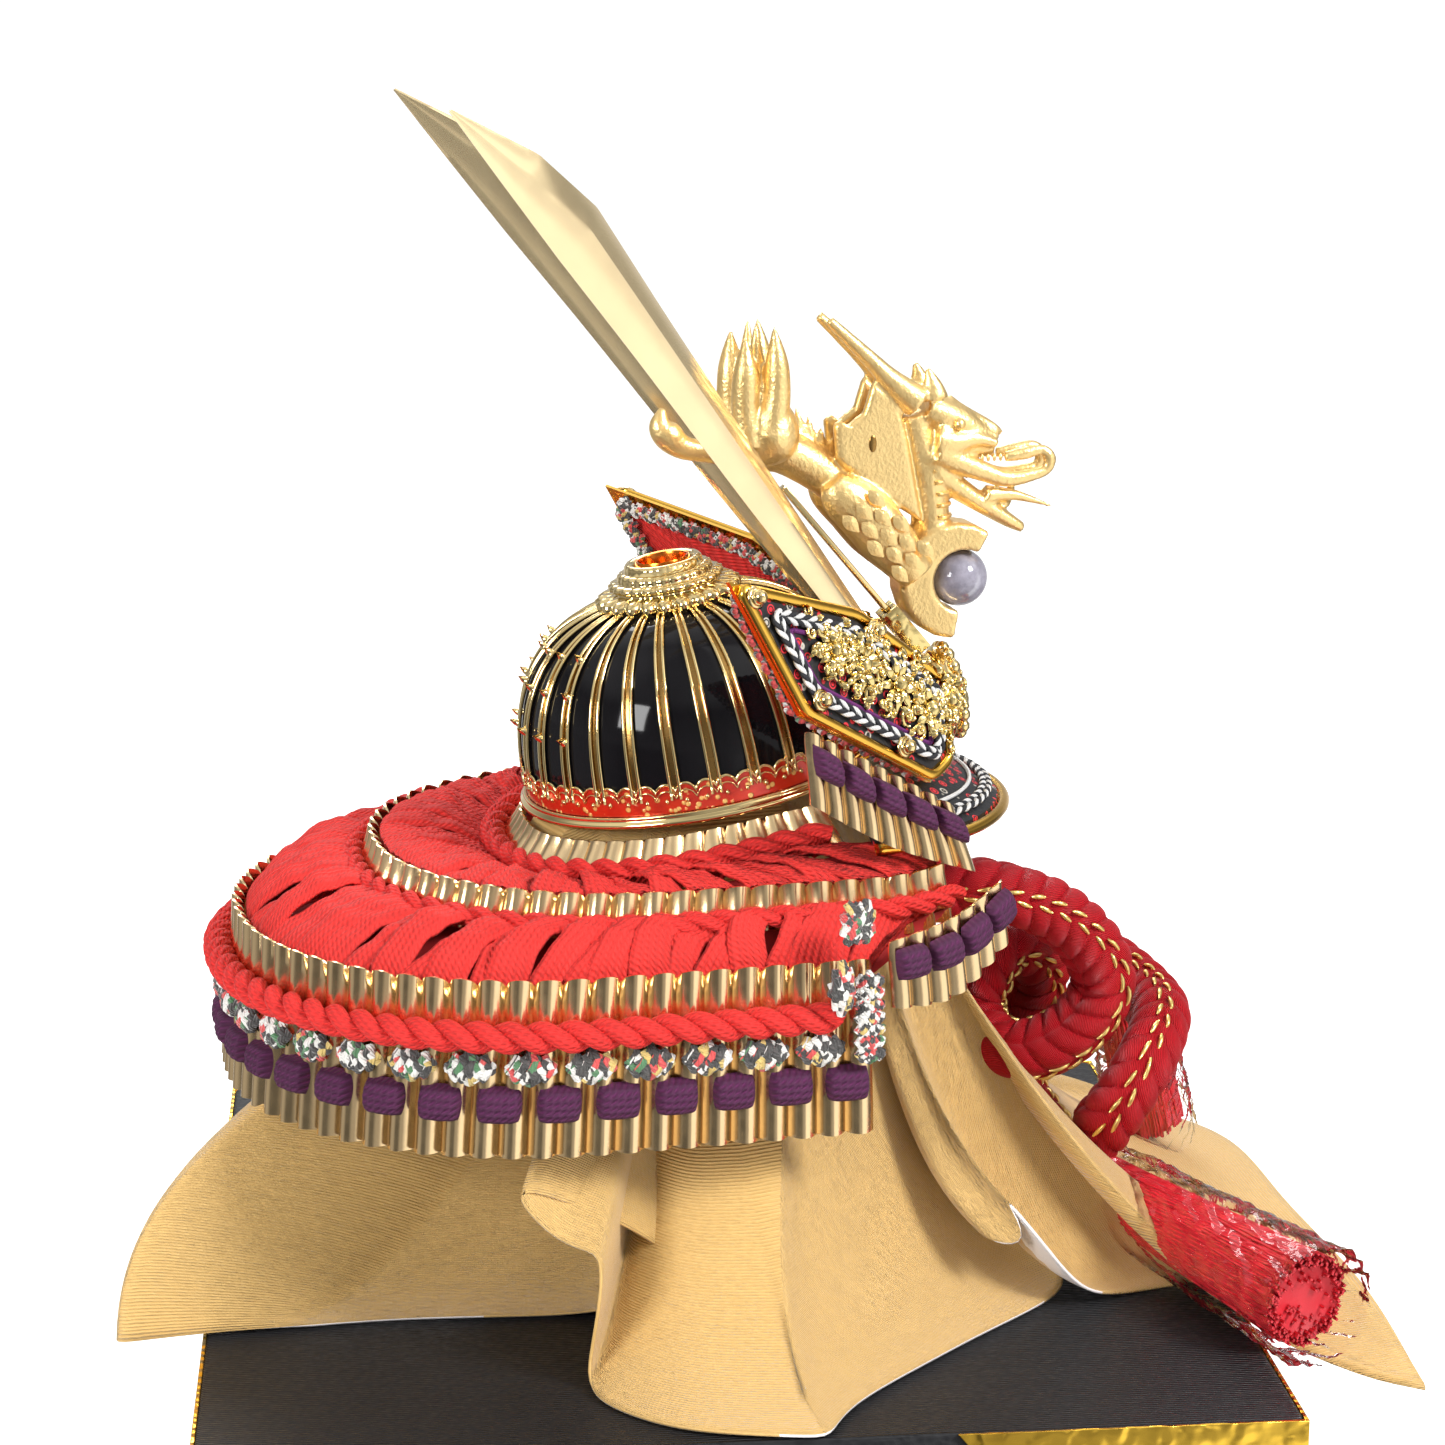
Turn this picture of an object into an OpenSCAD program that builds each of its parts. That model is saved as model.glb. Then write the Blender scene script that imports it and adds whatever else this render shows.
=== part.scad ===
// Miniature ornamental samurai helmet on its storage box: a ribbed bowl with visor, a three-tier
// laced neck guard, turned-back side plates, two blade horns and a dragon crest, a gold cloth
// over the stand, and a knotted red cord. The helmet faces -Y. The origin is the centre of the
// box's underside.

/* [Box] */
// Outside width and depth of the square box
box_side = 180; // [160:5:200]
// Height of the lid's top above the table
box_h = 110; // [100:5:140]
// Height of the lid's skirt
lid_skirt = 34; // [24:1:44]
// Thickness of the box and lid walls
wall = 3; // [2:0.5:4]

/* [Helmet] */
// How far the helmet is turned on its stand, in degrees
helmet_turn = 8; // [0:1:15]
// Radius of the bowl at its base
bowl_r = 31; // [30:0.5:32]
// Height of the bowl
bowl_h = 35; // [33:0.5:37]
// How far the bowl leans back, in degrees
bowl_lean = 10; // [8:1:12]
// Number of ribs around the bowl
ribs = 28; // [20:2:32]

/* [Neck guard] */
// Half width of the bottom lame
lame_half_width = 57; // [56:0.5:59]
// Pitch of the flutes pressed into the lames
flute = 5; // [4.5:0.5:6]
// Depth of the flutes, from the middle line
flute_depth = 0.8; // [0.5:0.1:0.9]

/* [Crest] */
// Length of each horn from the socket's mouth to the tip
horn_l = 135; // [125:1:138]
// How far the horns' broad faces are turned outwards, in degrees
horn_twist = 50; // [40:5:60]
// Diameter of the crystal ball
orb_d = 10.5; // [10:0.25:11]

/* [Cord] */
// Diameter of the red cord
cord_d = 11; // [10:0.5:11]

/* [Hidden] */
$fn = 48;

gap = 0.15;                       // clearance between pieces that only touch
half = box_side / 2;
inside = half - wall - 0.4 - wall;  // half the clear width inside the box
crown = [0, -1, box_h + 89.5];    // centre of the bowl's base, in the helmet's frame
gold = "goldenrod";
red = "crimson";

// ---- shared geometry ----------------------------------------------------------------

function unit(v) = v / norm(v);

// Running length along a line of points.
function lengths(pts) = [for (i = 0, d = 0; i < len(pts); i = i + 1,
    d = i < len(pts) ? d + norm(pts[i] - pts[i - 1]) : d) d];

// The line again as n + 1 evenly spaced points.
function even(pts, n) = let (d = lengths(pts), last = len(pts) - 1, k = [0 : last],
    tx = [for (i = k) [d[i], pts[i].x]], ty = [for (i = k) [d[i], pts[i].y]],
    tz = [for (i = k) [d[i], pts[i].z]])
    [for (i = [0 : n]) let (s = d[last] * i / n) [lookup(s, tx), lookup(s, ty), lookup(s, tz)]];

// Rounded U open towards -Y: half width w, back at y = b, corner radius r, front ends at y = f,
// each front end curling inwards through the angle curl on radius cr, all at height z.
function u_line(w, b, r, f, cr, curl, z) = let (
    half_line = concat(
        [for (a = [curl : -10 : 0]) [-w + cr * (1 - cos(a)), f - cr * sin(a), z]],
        [for (a = [0 : 7.5 : 90]) [-w + r * (1 - cos(a)), b - r + r * sin(a), z]]))
    concat(half_line, [for (i = [len(half_line) - 1 : -1 : 0])
        [-half_line[i].x, half_line[i].y, half_line[i].z]]);

// Sideways normal of a line at point i, pointing away from the U's middle.
function side_normal(pts, i) = let (last = len(pts) - 1,
    d = pts[min(i + 1, last)] - pts[max(i - 1, 0)]) unit([-d.y, d.x, 0]);

// Closed solid through rings of points, each ring a closed loop, with flat ends.
module loft(rings) {
    m = len(rings[0]);
    n = len(rings);
    side = [for (i = [0 : n - 2], j = [0 : m - 1]) let (k = (j + 1) % m, a = i * m, b = a + m)
        each [[a + j, b + j, b + k], [a + j, b + k, a + k]]];
    polyhedron([for (r = rings) each r],
        concat(side, [[for (j = [0 : m - 1]) j]],
            [[for (j = [m - 1 : -1 : 0]) (n - 1) * m + j]]), convexity = 10);
}

// Tube of radius r along a line of points, with flat ends.
module tube(pts, r, sides = 8) {
    last = len(pts) - 1;
    loft([for (i = [0 : last]) let (
        d = unit(pts[min(i + 1, last)] - pts[max(i - 1, 0)]),
        a = unit(cross(d, abs(d.z) > 0.9 ? [0, 1, 0] : [0, 0, 1])), b = cross(d, a))
        [for (j = [0 : sides - 1]) let (t = 360 * j / sides)
            pts[i] + r * (cos(t) * a + sin(t) * b)]]);
}

// Wall between two lines, one above the other, with a wave of the given depth.
module fluted_wall(top, bottom, thick, depth) {
    long = lengths(bottom)[len(bottom) - 1];
    flutes = round(long / flute);
    n = flutes * 4;
    t = even(top, n);
    b = even(bottom, n);
    loft([for (i = [0 : n]) let (o = depth * cos(90 * i), q = side_normal(b, i))
        [b[i] + q * (o + thick), t[i] + q * (o + thick), t[i] + q * o, b[i] + q * o]]);
}

// Plain band between two lines, thick across its slope.
module band(top, bottom, thick, n) {
    t = even(top, n);
    b = even(bottom, n);
    loft([for (i = [0 : n]) let (q = side_normal(b, i),
        up = thick * unit(cross(b[i + (i < n ? 1 : 0)] - b[i - (i < n ? 0 : 1)], t[i] - b[i])),
        o = up.z < 0 ? -up : up)
        [b[i], b[i] + o, t[i] + o, t[i]]]);
}

module on_helmet() translate([0, 2, 0]) rotate([0, 0, helmet_turn]) children();
module on_bowl() on_helmet() translate(crown) rotate([-bowl_lean, 0, 0]) children();
module both_sides(side) mirror([side > 0 ? 1 : 0, 0, 0]) children();

// ---- box ----------------------------------------------------------------------------

base_half = half - wall - 0.4;

module box_base() color("#232325") difference() {
    translate([-base_half, -base_half, 0]) cube([2 * base_half, 2 * base_half, box_h - wall - 1]);
    translate([-inside, -inside, wall]) cube([2 * inside, 2 * inside, box_h]);
}

module box_lid() color("#232325") difference() {
    translate([-half, -half, box_h - lid_skirt]) cube([box_side, box_side, lid_skirt]);
    translate([-half + wall, -half + wall, box_h - lid_skirt - 1])
        cube([box_side - 2 * wall, box_side - 2 * wall, lid_skirt - wall + 1]);
}

// Gold angle on each upper corner of the lid: two legs with slanted ends and a pinned face.
fitting_l = 58;
fitting_h = 12;
fitting_t = 0.7;
module fitting_leg() translate([-half - fitting_t, -half - fitting_t, box_h - fitting_h])
    rotate([90, 0, 0]) mirror([0, 0, 1]) linear_extrude(fitting_t - 0.05)
        polygon([[0, 0], [fitting_l - 10, 0], [fitting_l, fitting_h], [0, fitting_h]]);
module lid_corner_fittings() color(gold)
    for (a = [0 : 90 : 270]) rotate([0, 0, a]) {
        difference() {
            union() {
                fitting_leg();
                mirror([1, -1, 0]) fitting_leg();
            }
            translate([-half - 0.02, -half - 0.02, box_h - 30]) cube([box_side, box_side, 40]);
        }
    }

// ---- stand --------------------------------------------------------------------------

stand_r = 34;
post_r = 7;
head_z = 89;     // height of the head's underside above the lid
module stand_base() color("burlywood") translate([0, 2, box_h + gap]) difference() {
    cylinder(h = 7, r = stand_r);
    translate([0, 0, 2]) cylinder(h = 6, r = post_r + 0.05);
}
module stand_post() color("burlywood") translate([0, 2, box_h + gap + 2.05])
    cylinder(h = head_z + 8, r = post_r);
module stand_head() color("ivory") translate([0, 2, box_h + head_z]) difference() {
    intersection() {
        translate([0, 0, 3]) sphere(r = 24);
        cylinder(h = 30, r = 19);
    }
    translate([0, 0, -1]) cylinder(h = 11.3 + gap, r = post_r + 0.05);
}

// ---- cloth --------------------------------------------------------------------------

cloth_side = 250;
cloth_turn = 16;     // how far the square's corners are turned from the box's sides
cloth_t = 1;
// Radius and height of the tent that the cloth makes over the stand, from the top down.
tent = [[6, 117], [14, 113.3], [20.6, 108], [22.5, 92], [24.5, 82], [43, 40], [52, 12], [62, 1.4]];
tent_run = [for (d = lengths([for (p = tent) [p.x, p.y, 0]])) tent[0].x + d];
rows = len(tent);

// Length of cloth from its middle to its hem in the direction a.
function cloth_reach(a) = let (b = (a - cloth_turn + 45 + 720) % 90 - 45)
    cloth_side / 2 / cos(45 - abs(b));
// Point k of the row of points down the cloth in the direction a: down the tent, then on the lid.
function cloth_point(a, k, lift) = let (
    foot = tent_run[rows - 1], near = max(foot + 14, cloth_reach(a) * 0.93),
    flat = k < rows ? 0 : k == rows ? 10 : k == rows + 1 ? near - foot
        : max(near + 4, cloth_reach(a)) - foot,
    p = tent[min(k, rows - 1)], r = p.x + flat + lift * (k > 1 && k < rows - 1 ? 0.7 : 0))
    [r * cos(a), 2 + r * sin(a), box_h + p.y + lift];
module display_cloth() {
    angles = [for (a = [0 : 10 : 350]) a];
    m = rows + 3;
    n = len(angles);
    top = [for (a = angles, k = [0 : m - 1]) cloth_point(a, k, cloth_t)];
    low = [for (a = angles, k = [0 : m - 1]) cloth_point(a, k, 0)];
    function at(i, k) = (i % n) * m + k;
    over = [for (i = [0 : n - 1], k = [0 : m - 2])
        each [[at(i, k), at(i + 1, k), at(i + 1, k + 1)], [at(i, k), at(i + 1, k + 1), at(i, k + 1)]]];
    under = [for (f = over) [f[2] + n * m, f[1] + n * m, f[0] + n * m]];
    rims = [for (i = [0 : n - 1], k = [0, m - 1]) let (a = at(i, k), b = at(i + 1, k), c = n * m)
        each k == 0 ? [[a, a + c, b + c], [a, b + c, b]] : [[a, b, b + c], [a, b + c, a + c]]];
    color("#c9a24f") polyhedron(concat(top, low), concat(over, under, rims), convexity = 10);
}

// ---- bowl ---------------------------------------------------------------------------

bowl_t = 1.2;
bulge = 2.4;      // exponent of the bowl's rounded profile
function bowl_profile(r, h, n = 14) = [for (i = [0 : n]) let (a = 90 * i / n)
    [r * pow(cos(a), 2 / bulge), h * pow(sin(a), 2 / bulge)]];
crown_hole = 6;   // radius of the hole at the top of the bowl

module bowl_half(r, h) rotate_extrude($fn = 72)
    polygon(concat([[0, 0]], bowl_profile(r, h)));
module helmet_bowl() color("#0c0c0e") on_bowl() difference() {
    bowl_half(bowl_r, bowl_h);
    translate([0, 0, -0.5]) bowl_half(bowl_r - bowl_t, bowl_h - bowl_t + 0.5);
    cylinder(h = 60, r = crown_hole);
}

// Gilt ribs from the crown plate down to the rim.
rib_w = 1;
rib_t = 0.9;
module bowl_ribs() color(gold) on_bowl() {
    line = [for (p = bowl_profile(bowl_r + gap / 2, bowl_h + gap / 2)) if (p.x > 11 && p.y > 1.5) p];
    out = [for (p = bowl_profile(bowl_r + gap + rib_t, bowl_h + gap + rib_t))
        if (p.x > 11.5 && p.y > 1.5) p];
    for (k = [0 : ribs - 1]) rotate([0, 0, 360 * (k + 0.5) / ribs])
        translate([0, rib_w / 2, 0]) rotate([90, 0, 0]) linear_extrude(rib_w)
            polygon(concat(line, [for (i = [len(out) - 1 : -1 : 0]) out[i]]));
}

// Red scalloped band around the foot of the bowl, in one tongue between each pair of ribs.
band_h = 6;
module bowl_band() color("#b8341c") on_bowl() for (k = [0 : ribs - 1])
    rotate([0, 0, 360 * k / ribs]) intersection() {
        difference() {
            bowl_half(bowl_r + gap + 0.5, bowl_h + gap + 0.5);
            translate([0, 0, -1]) bowl_half(bowl_r + gap, bowl_h + 1 + gap);
            translate([0, 0, band_h + 2]) cylinder(h = 60, r = 60);
            translate([0, 0, -1]) cylinder(h = 2.7, r = 60);
        }
        rotate([90, 0, 90]) linear_extrude(60) hull() {
            tongue = PI * bowl_r / ribs - rib_w / 2 - gap;
            translate([0, band_h - tongue]) circle(r = tongue, $fn = 24);
            translate([-tongue, 0]) square([2 * tongue, 1]);
        }
    }
module bowl_rim() color(gold) on_bowl() rotate_extrude($fn = 72)
    translate([bowl_r + gap, -0.6]) square([1.4, 2]);

// Tiered rosette at the crown, with a cup in the middle.
module crown_plate() color(gold) on_bowl() translate([0, 0, bowl_h - 1.4]) difference() {
    union() {
        for (k = [0 : 11]) rotate([0, 0, 30 * k]) translate([9.4, 0, 0]) cylinder(h = 4, r = 2.6);
        cylinder(h = 4.6, r = 10);
        cylinder(h = 6, r = 8);
        cylinder(h = 7.6, r = 6.6);
    }
    translate([0, 0, -bowl_h + 1.4]) bowl_half(bowl_r + gap, bowl_h + gap);
    translate([0, 0, -1]) cylinder(h = 20, r = 5);
}
module crown_cup() color("darkorange") on_bowl() translate([0, 0, bowl_h - 1.4]) difference() {
    translate([0, 0, 0.2]) cylinder(h = 7.9, r = 4.95);
    translate([0, 0, 1.2]) cylinder(h = 10, r = 4.2);
}
module helmet_lining() color("#7a1518") on_bowl() difference() {
    translate([0, 0, 0.3]) bowl_half(bowl_r - bowl_t - gap, bowl_h - bowl_t - 0.6);
    translate([0, 0, -0.2]) bowl_half(bowl_r - bowl_t - 1.4, bowl_h - bowl_t - 2.4);
    cylinder(h = 60, r = crown_hole + 1);
}

// ---- visor --------------------------------------------------------------------------

visor_out = 54;      // reach of the visor's tip from the bowl's axis
visor_drop = 17;     // how far the tip is below the bowl's base
visor_c = 12;        // how far the outer edge's centre is in front of the bowl's axis

module visor_cone(r0, r1, z0, z1, t) rotate_extrude($fn = 72)
    polygon([[r0, z0], [r1, z1], [r1, z1 + t], [r0, z0 + t]]);
module visor_outline(r) translate([0, -visor_c, -60]) intersection() {
    cylinder(h = 120, r = r);
    translate([-60, -120, 0]) cube([120, 120 - 8, 120]);
}
module visor_plate() color("#17171a") on_bowl() intersection() {
    visor_cone(bowl_r + 1.8, visor_out + 8, -1.2, -23, 1.4);
    visor_outline(visor_out - visor_c - 1.6);
}
module visor_rim() color(gold) on_bowl() intersection() {
    visor_cone(bowl_r + 1.8, visor_out + 8, -1.7, -23.5, 2.4);
    difference() {
        visor_outline(visor_out - visor_c);
        visor_outline(visor_out - visor_c - 1.6 + gap);
    }
}
module visor_braid() color("dimgray") on_bowl() intersection() {
    visor_cone(bowl_r + 1.8, visor_out + 8, 0.3, -21.5, 1.1);
    difference() {
        visor_outline(visor_out - visor_c - 3.2);
        visor_outline(visor_out - visor_c - 5.4);
    }
}

// ---- neck guard ---------------------------------------------------------------------

lame_t = 0.5;
w = lame_half_width;
// The top lame leans with the bowl; the other two hang level.
function leaned(pts) = [for (p = pts) let (c = cos(bowl_lean), s = sin(bowl_lean))
    crown + [p.x, p.y * c + p.z * s, p.z * c - p.y * s]];
top_lame_line = leaned(u_line(30.5, 32, 28, -14, 8, 0, -2.2));
top_lame_foot = leaned(u_line(36.5, 39, 34, -16, 8, 0, -9));
mid_z = box_h + 80;
low_z = box_h + 69;
middle_lame_line = u_line(w - 13, w, 42, -20, 20, 50, mid_z);
middle_lame_foot = u_line(w - 10.5, w + 3.5, 44, -20, 22, 50, mid_z - 10);
bottom_lame_line = u_line(w - 3, w + 24.5, w - 5, -18, 8, 0, low_z);
bottom_lame_foot = u_line(w, w + 27.5, w - 3, -18, 8, 0, low_z - 30);

module neck_lame_top() color(gold) on_helmet()
    fluted_wall(top_lame_line, top_lame_foot, 0.4, 0.5);
module neck_lame_middle() color(gold) on_helmet()
    fluted_wall(middle_lame_line, middle_lame_foot, lame_t, flute_depth);
module neck_lame_bottom() color(gold) on_helmet()
    fluted_wall(bottom_lame_line, bottom_lame_foot, lame_t, flute_depth);

// A point part of the way down a lame, and out from it.
function down(top, foot, share, out, n) = let (t = even(top, n), f = even(foot, n))
    [for (i = [0 : n]) t[i] + (f[i] - t[i]) * share + out * side_normal(f, i)];

braid_r = 2;
out_of_lame = flute_depth + lame_t + gap;
// A line without its end points.
function inner(pts) = [for (i = [1 : len(pts) - 2]) pts[i]];
module braid_top() color(red) on_helmet()
    tube(down(top_lame_line, top_lame_foot, 0.55, 1.4 + 1.8, 44), 1.8, 6);
module braid_middle() color(red) on_helmet()
    tube(down(middle_lame_line, middle_lame_foot, 0.5, out_of_lame + braid_r, 44), braid_r, 6);
module braid_bottom() color(red) on_helmet()
    tube(inner(down(bottom_lame_line, bottom_lame_foot, 0.3, out_of_lame + braid_r, 48)), braid_r, 6);

// Red ribbons from under one braid to the inside of the next lame's top edge.
lace_t = 1.6;
in_of_lame = flute_depth + lace_t + 0.4;
module lacing_upper() color(red) on_helmet() band(
    down(top_lame_line, top_lame_foot, 1, 1.2, 44),
    down(middle_lame_line, middle_lame_foot, 0.1, -in_of_lame, 44), lace_t, 44);
module lacing_lower() color(red) on_helmet() band(
    down(middle_lame_line, middle_lame_foot, 0.94, out_of_lame + 0.3, 44),
    down(bottom_lame_line, bottom_lame_foot, 0.1, -in_of_lame, 44), lace_t, 44);

// A row of pads of lacing on a lame: every other flute, or between them.
module pads(share, first, pad, n, colour) color(colour) on_helmet() {
    line = down(bottom_lame_line, bottom_lame_foot, share, out_of_lame + 0.4, n);
    foot = even(bottom_lame_foot, n);
    for (i = [first : 2 : n - 2]) let (q = side_normal(foot, i))
        translate(line[i]) rotate([0, 0, atan2(q.y, q.x) - 90])
            translate([-pad.x / 2, 0, -pad.z / 2]) cube(pad);
}
low_flutes = round(lengths(bottom_lame_foot)[len(bottom_lame_foot) - 1] / flute);
module bead_lacing() pads(0.5, 2, [6, 2, 3.6], low_flutes, "dimgray");
module purple_lacing() pads(0.7, 1, [7, 2.4, 6], low_flutes, "#45145a");

// Short chequered laces down the front ends of the two lower lames.
module edge_lacing() color("dimgray") on_helmet() for (s = [-1, 1]) {
    translate([s * (w + out_of_lame + 0.9), -16.2, low_z - 9]) rotate([0, s * 6, 0])
        scale([1, 1.4, 1]) cylinder(h = 14, r = 1.5, center = true, $fn = 16);
}

// ---- turned-back side plates ---------------------------------------------------------

// Right plate: lower rear corner, then unit vectors forward along its foot, up it, and out of it.
plate_o = [-48, -7, box_h + 109.5];
plate_x = unit([15, -29.6, -18.1]);
plate_n = unit(cross(plate_x, [-2, 12.8, 22.4]));
plate_y = cross(plate_n, plate_x);
plate = [[plate_x.x, plate_y.x, plate_n.x, plate_o.x], [plate_x.y, plate_y.y, plate_n.y, plate_o.y],
    [plate_x.z, plate_y.z, plate_n.z, plate_o.z], [0, 0, 0, 1]];
outline = [[-21.6, 15.5], [0, 0], [34, 0], [38, 5], [34, 19], [8, 22]];

module on_plate(s) on_helmet() both_sides(s) multmatrix(plate) children();
module plate_shape(inset) offset(r = 1.5 - inset) offset(delta = -1.5) polygon(outline);
module plate_slab(z, t, inset) translate([0, 0, z]) linear_extrude(t) offset(delta = -inset)
    polygon(outline);

module side_plate(s) color(gold) on_plate(s) plate_slab(-0.8, 0.8, 0);
module side_leather(s) color("#15151a") on_plate(s) plate_slab(gap, 0.7, 1.9);
module side_rim(s) color(gold) on_plate(s) difference() {
    plate_slab(0.02, 1.6, 0);
    plate_slab(-1, 4, 1.7);
}
module side_braid(s) color("dimgray") on_plate(s) difference() {
    plate_slab(0.9, 1.1, 3.2);
    plate_slab(0, 4, 5.3);
}
crest_spots = [[4, 10, 4.4], [12, 11, 5], [21, 10.4, 4.6], [26.8, 9.5, 3.4]];
module side_crest(s) color(gold) on_plate(s) translate([0, 0, 0.9]) for (p = crest_spots)
    translate([p.x, p.y, 0]) cylinder(h = 2.2, r = p.z - 0.6);
rivet_spots = [[-17.2, 14.2], [2, 3.2], [24, 2.7], [12, 19.4]];
module side_rivets(s) color(gold) on_plate(s) for (p = rivet_spots) translate([p.x, p.y, 2.05]) {
    cylinder(h = 1, r = 1.4);
    translate([0, 0, 1.3]) sphere(r = 1.25);
}

// Fluted strips under the plate and at the turned end of the middle lame, each with purple laces.
// Points given for the right side, in the order that goes round the helmet.
function mirrored(pts, s) = s < 0 ? pts : [for (i = [len(pts) - 1 : -1 : 0])
    [-pts[i].x, pts[i].y, pts[i].z]];
side_top = [[-38.6, -36.6, box_h + 90], [-43.5, -22, box_h + 98.8], [-48.6, -7.6, box_h + 107.4]];
side_foot = [[-39.5, -41, box_h + 78], [-45, -24, box_h + 85], [-50.4, -8.6, box_h + 94.5]];
turn_top = [[-43, -44, box_h + 78], [-50.5, -33, box_h + 74], [-55.5, -20.5, box_h + 72]];
turn_foot = [[-43, -46, box_h + 67], [-51, -34, box_h + 60], [-56, -21.5, box_h + 60]];
module strip(top, foot) color(gold) on_helmet() fluted_wall(top, foot, 0.4, 0.6);
module strip_laces(top, foot, count) {
    line = even([for (i = [0 : 2]) top[i] * 0.62 + foot[i] * 0.38], count * 2);
    for (i = [1 : 2 : count * 2 - 1]) let (q = side_normal(line, i))
        translate(line[i] + q * 1.5) rotate([0, 0, atan2(q.y, q.x) - 90])
            translate([-2.4, 0, -2.4]) cube([4.8, 1.8, 4.8]);
}
module side_lacing() color("#45145a") on_helmet() for (s = [-1, 1]) both_sides(s)
    strip_laces(side_top, side_foot, 5);
module turned_lacing() color("#45145a") on_helmet() for (s = [-1, 1]) both_sides(s)
    strip_laces(turn_top, turn_foot, 4);

// ---- crest --------------------------------------------------------------------------

// Socket mouths, and the ways that the horns and the dragon's pin come out of them.
horn_mouth = [-9, -36.5, box_h + 104];
horn_way = unit([-20, 79, 112]);
pin_mouth = [0, -35.5, box_h + 116.7];
pin_way = unit([0, 64, 76]);
socket_l = 9;

// Turns +Z onto the direction d, keeping X level.
module along(d) rotate([0, 0, atan2(d.y, d.x)]) rotate([0, acos(d.z), 0])
    rotate([0, 0, -atan2(d.y, d.x)]) children();

module socket(mouth, way, slot, twist, hole) translate(mouth) along(way) rotate([0, 0, -twist])
    if (hole) translate([-slot.x / 2, -slot.y / 2, -socket_l]) cube([slot.x, slot.y, socket_l + 1]);
    else translate([-slot.x / 2 - 1, -slot.y / 2 - 1, -socket_l - 1])
        cube([slot.x + 2, slot.y + 2, socket_l + 1]);
module sockets(hole) on_helmet() {
    for (s = [-1, 1]) both_sides(s) socket(horn_mouth, horn_way, horn_slot, horn_twist, hole);
    socket(pin_mouth, pin_way, pin_slot, 0, hole);
}
horn_slot = [5.4, 1.3];
pin_slot = [3.4, 1.4];
base_r = 43;       // radius of the curved base plate about the bowl's axis
module base_end(s) rotate([0, 0, -90 + s * 38]) translate([base_r - 3, -s * 7, 10])
    rotate([0, 90, 0]) difference() {
        translate([-8, -8, 0]) cube([16, 16, 8]);
        translate([3, 0, -1]) cylinder(h = 10, r = 7.4);
        translate([3, -8, -1]) cube([16, 16, 10]);
        translate([-9, s > 0 ? -9 : 0, -1]) cube([20, 9, 10]);
    }
module crest_base() color(gold) difference() {
    union() {
        on_bowl() difference() {
            rotate([0, 0, -90 - 38]) rotate_extrude(angle = 76, $fn = 72)
                translate([base_r, -4.5]) square([1.2, 15]);
            base_end(-1);
            base_end(1);
        }
        sockets(false);
    }
    sockets(true);
}
module crest_medallion() color(gold) on_bowl() rotate([0, 0, -90])
    translate([base_r + 1.6 + gap, 0, -1.5]) rotate([0, 90, 0]) {
        cylinder(h = 1.4, r = 7);
        for (k = [0 : 7]) rotate([0, 0, 45 * k]) translate([4.6, 0, 1.4]) cylinder(h = 1, r = 1.6);
    }

// Blade horn: a creased strip that widens to a slanted point, on a flat tongue.
horn_t = 0.7;
// Share of the length, then x and y of the outer edge, the crease and the inner edge.
horn_shape = [[0, -2.5, 0.5, 0, 0, 2.5, 0.5], [0.1, -3, 1, 0, 0, 3, 1], [0.35, -4.5, 2, 0, 0, 4.5, 2],
    [0.6, -5.7, 2.6, 0, 0, 5.7, 2.6], [0.77, -7, 3, 0, 0, 7, 3],
    [0.885, -7.7, 3, -3.8, 1.5, 0, 0.1], [1, -8.3, 3, -8.1, 2.9, -7.8, 2.8]];
function horn_ring(k) = let (s = horn_shape[k], z = s[0] * horn_l)
    [[s[1], s[2], z], [s[3], s[4], z], [s[5], s[6], z],
     [s[5], s[6] + horn_t, z], [s[3], s[4] + horn_t, z], [s[1], s[2] + horn_t, z]];
module horn(s) color(gold) on_helmet() both_sides(s) translate(horn_mouth) along(horn_way)
    rotate([0, 0, -horn_twist]) {
        translate([0, 0, 0.3]) loft([for (k = [0 : 6]) horn_ring(k)]);
        translate([-2.5, -0.45, -socket_l + 0.3]) cube([5, 0.9, socket_l + 1.2]);
    }

// Limb: an eight-sided tapering tube through points with their own radii.
module limb(pts, radii) {
    last = len(pts) - 1;
    loft([for (i = [0 : last]) let (
        d = unit(pts[min(i + 1, last)] - pts[max(i - 1, 0)]),
        a = unit(cross(d, abs(d.x) > 0.9 ? [0, 1, 0] : [1, 0, 0])), b = cross(d, a))
        [for (j = [0 : 7]) let (t = 45 * j + 22.5)
            pts[i] + radii[i] * (cos(t) * a + sin(t) * b)]]);
}
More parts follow.
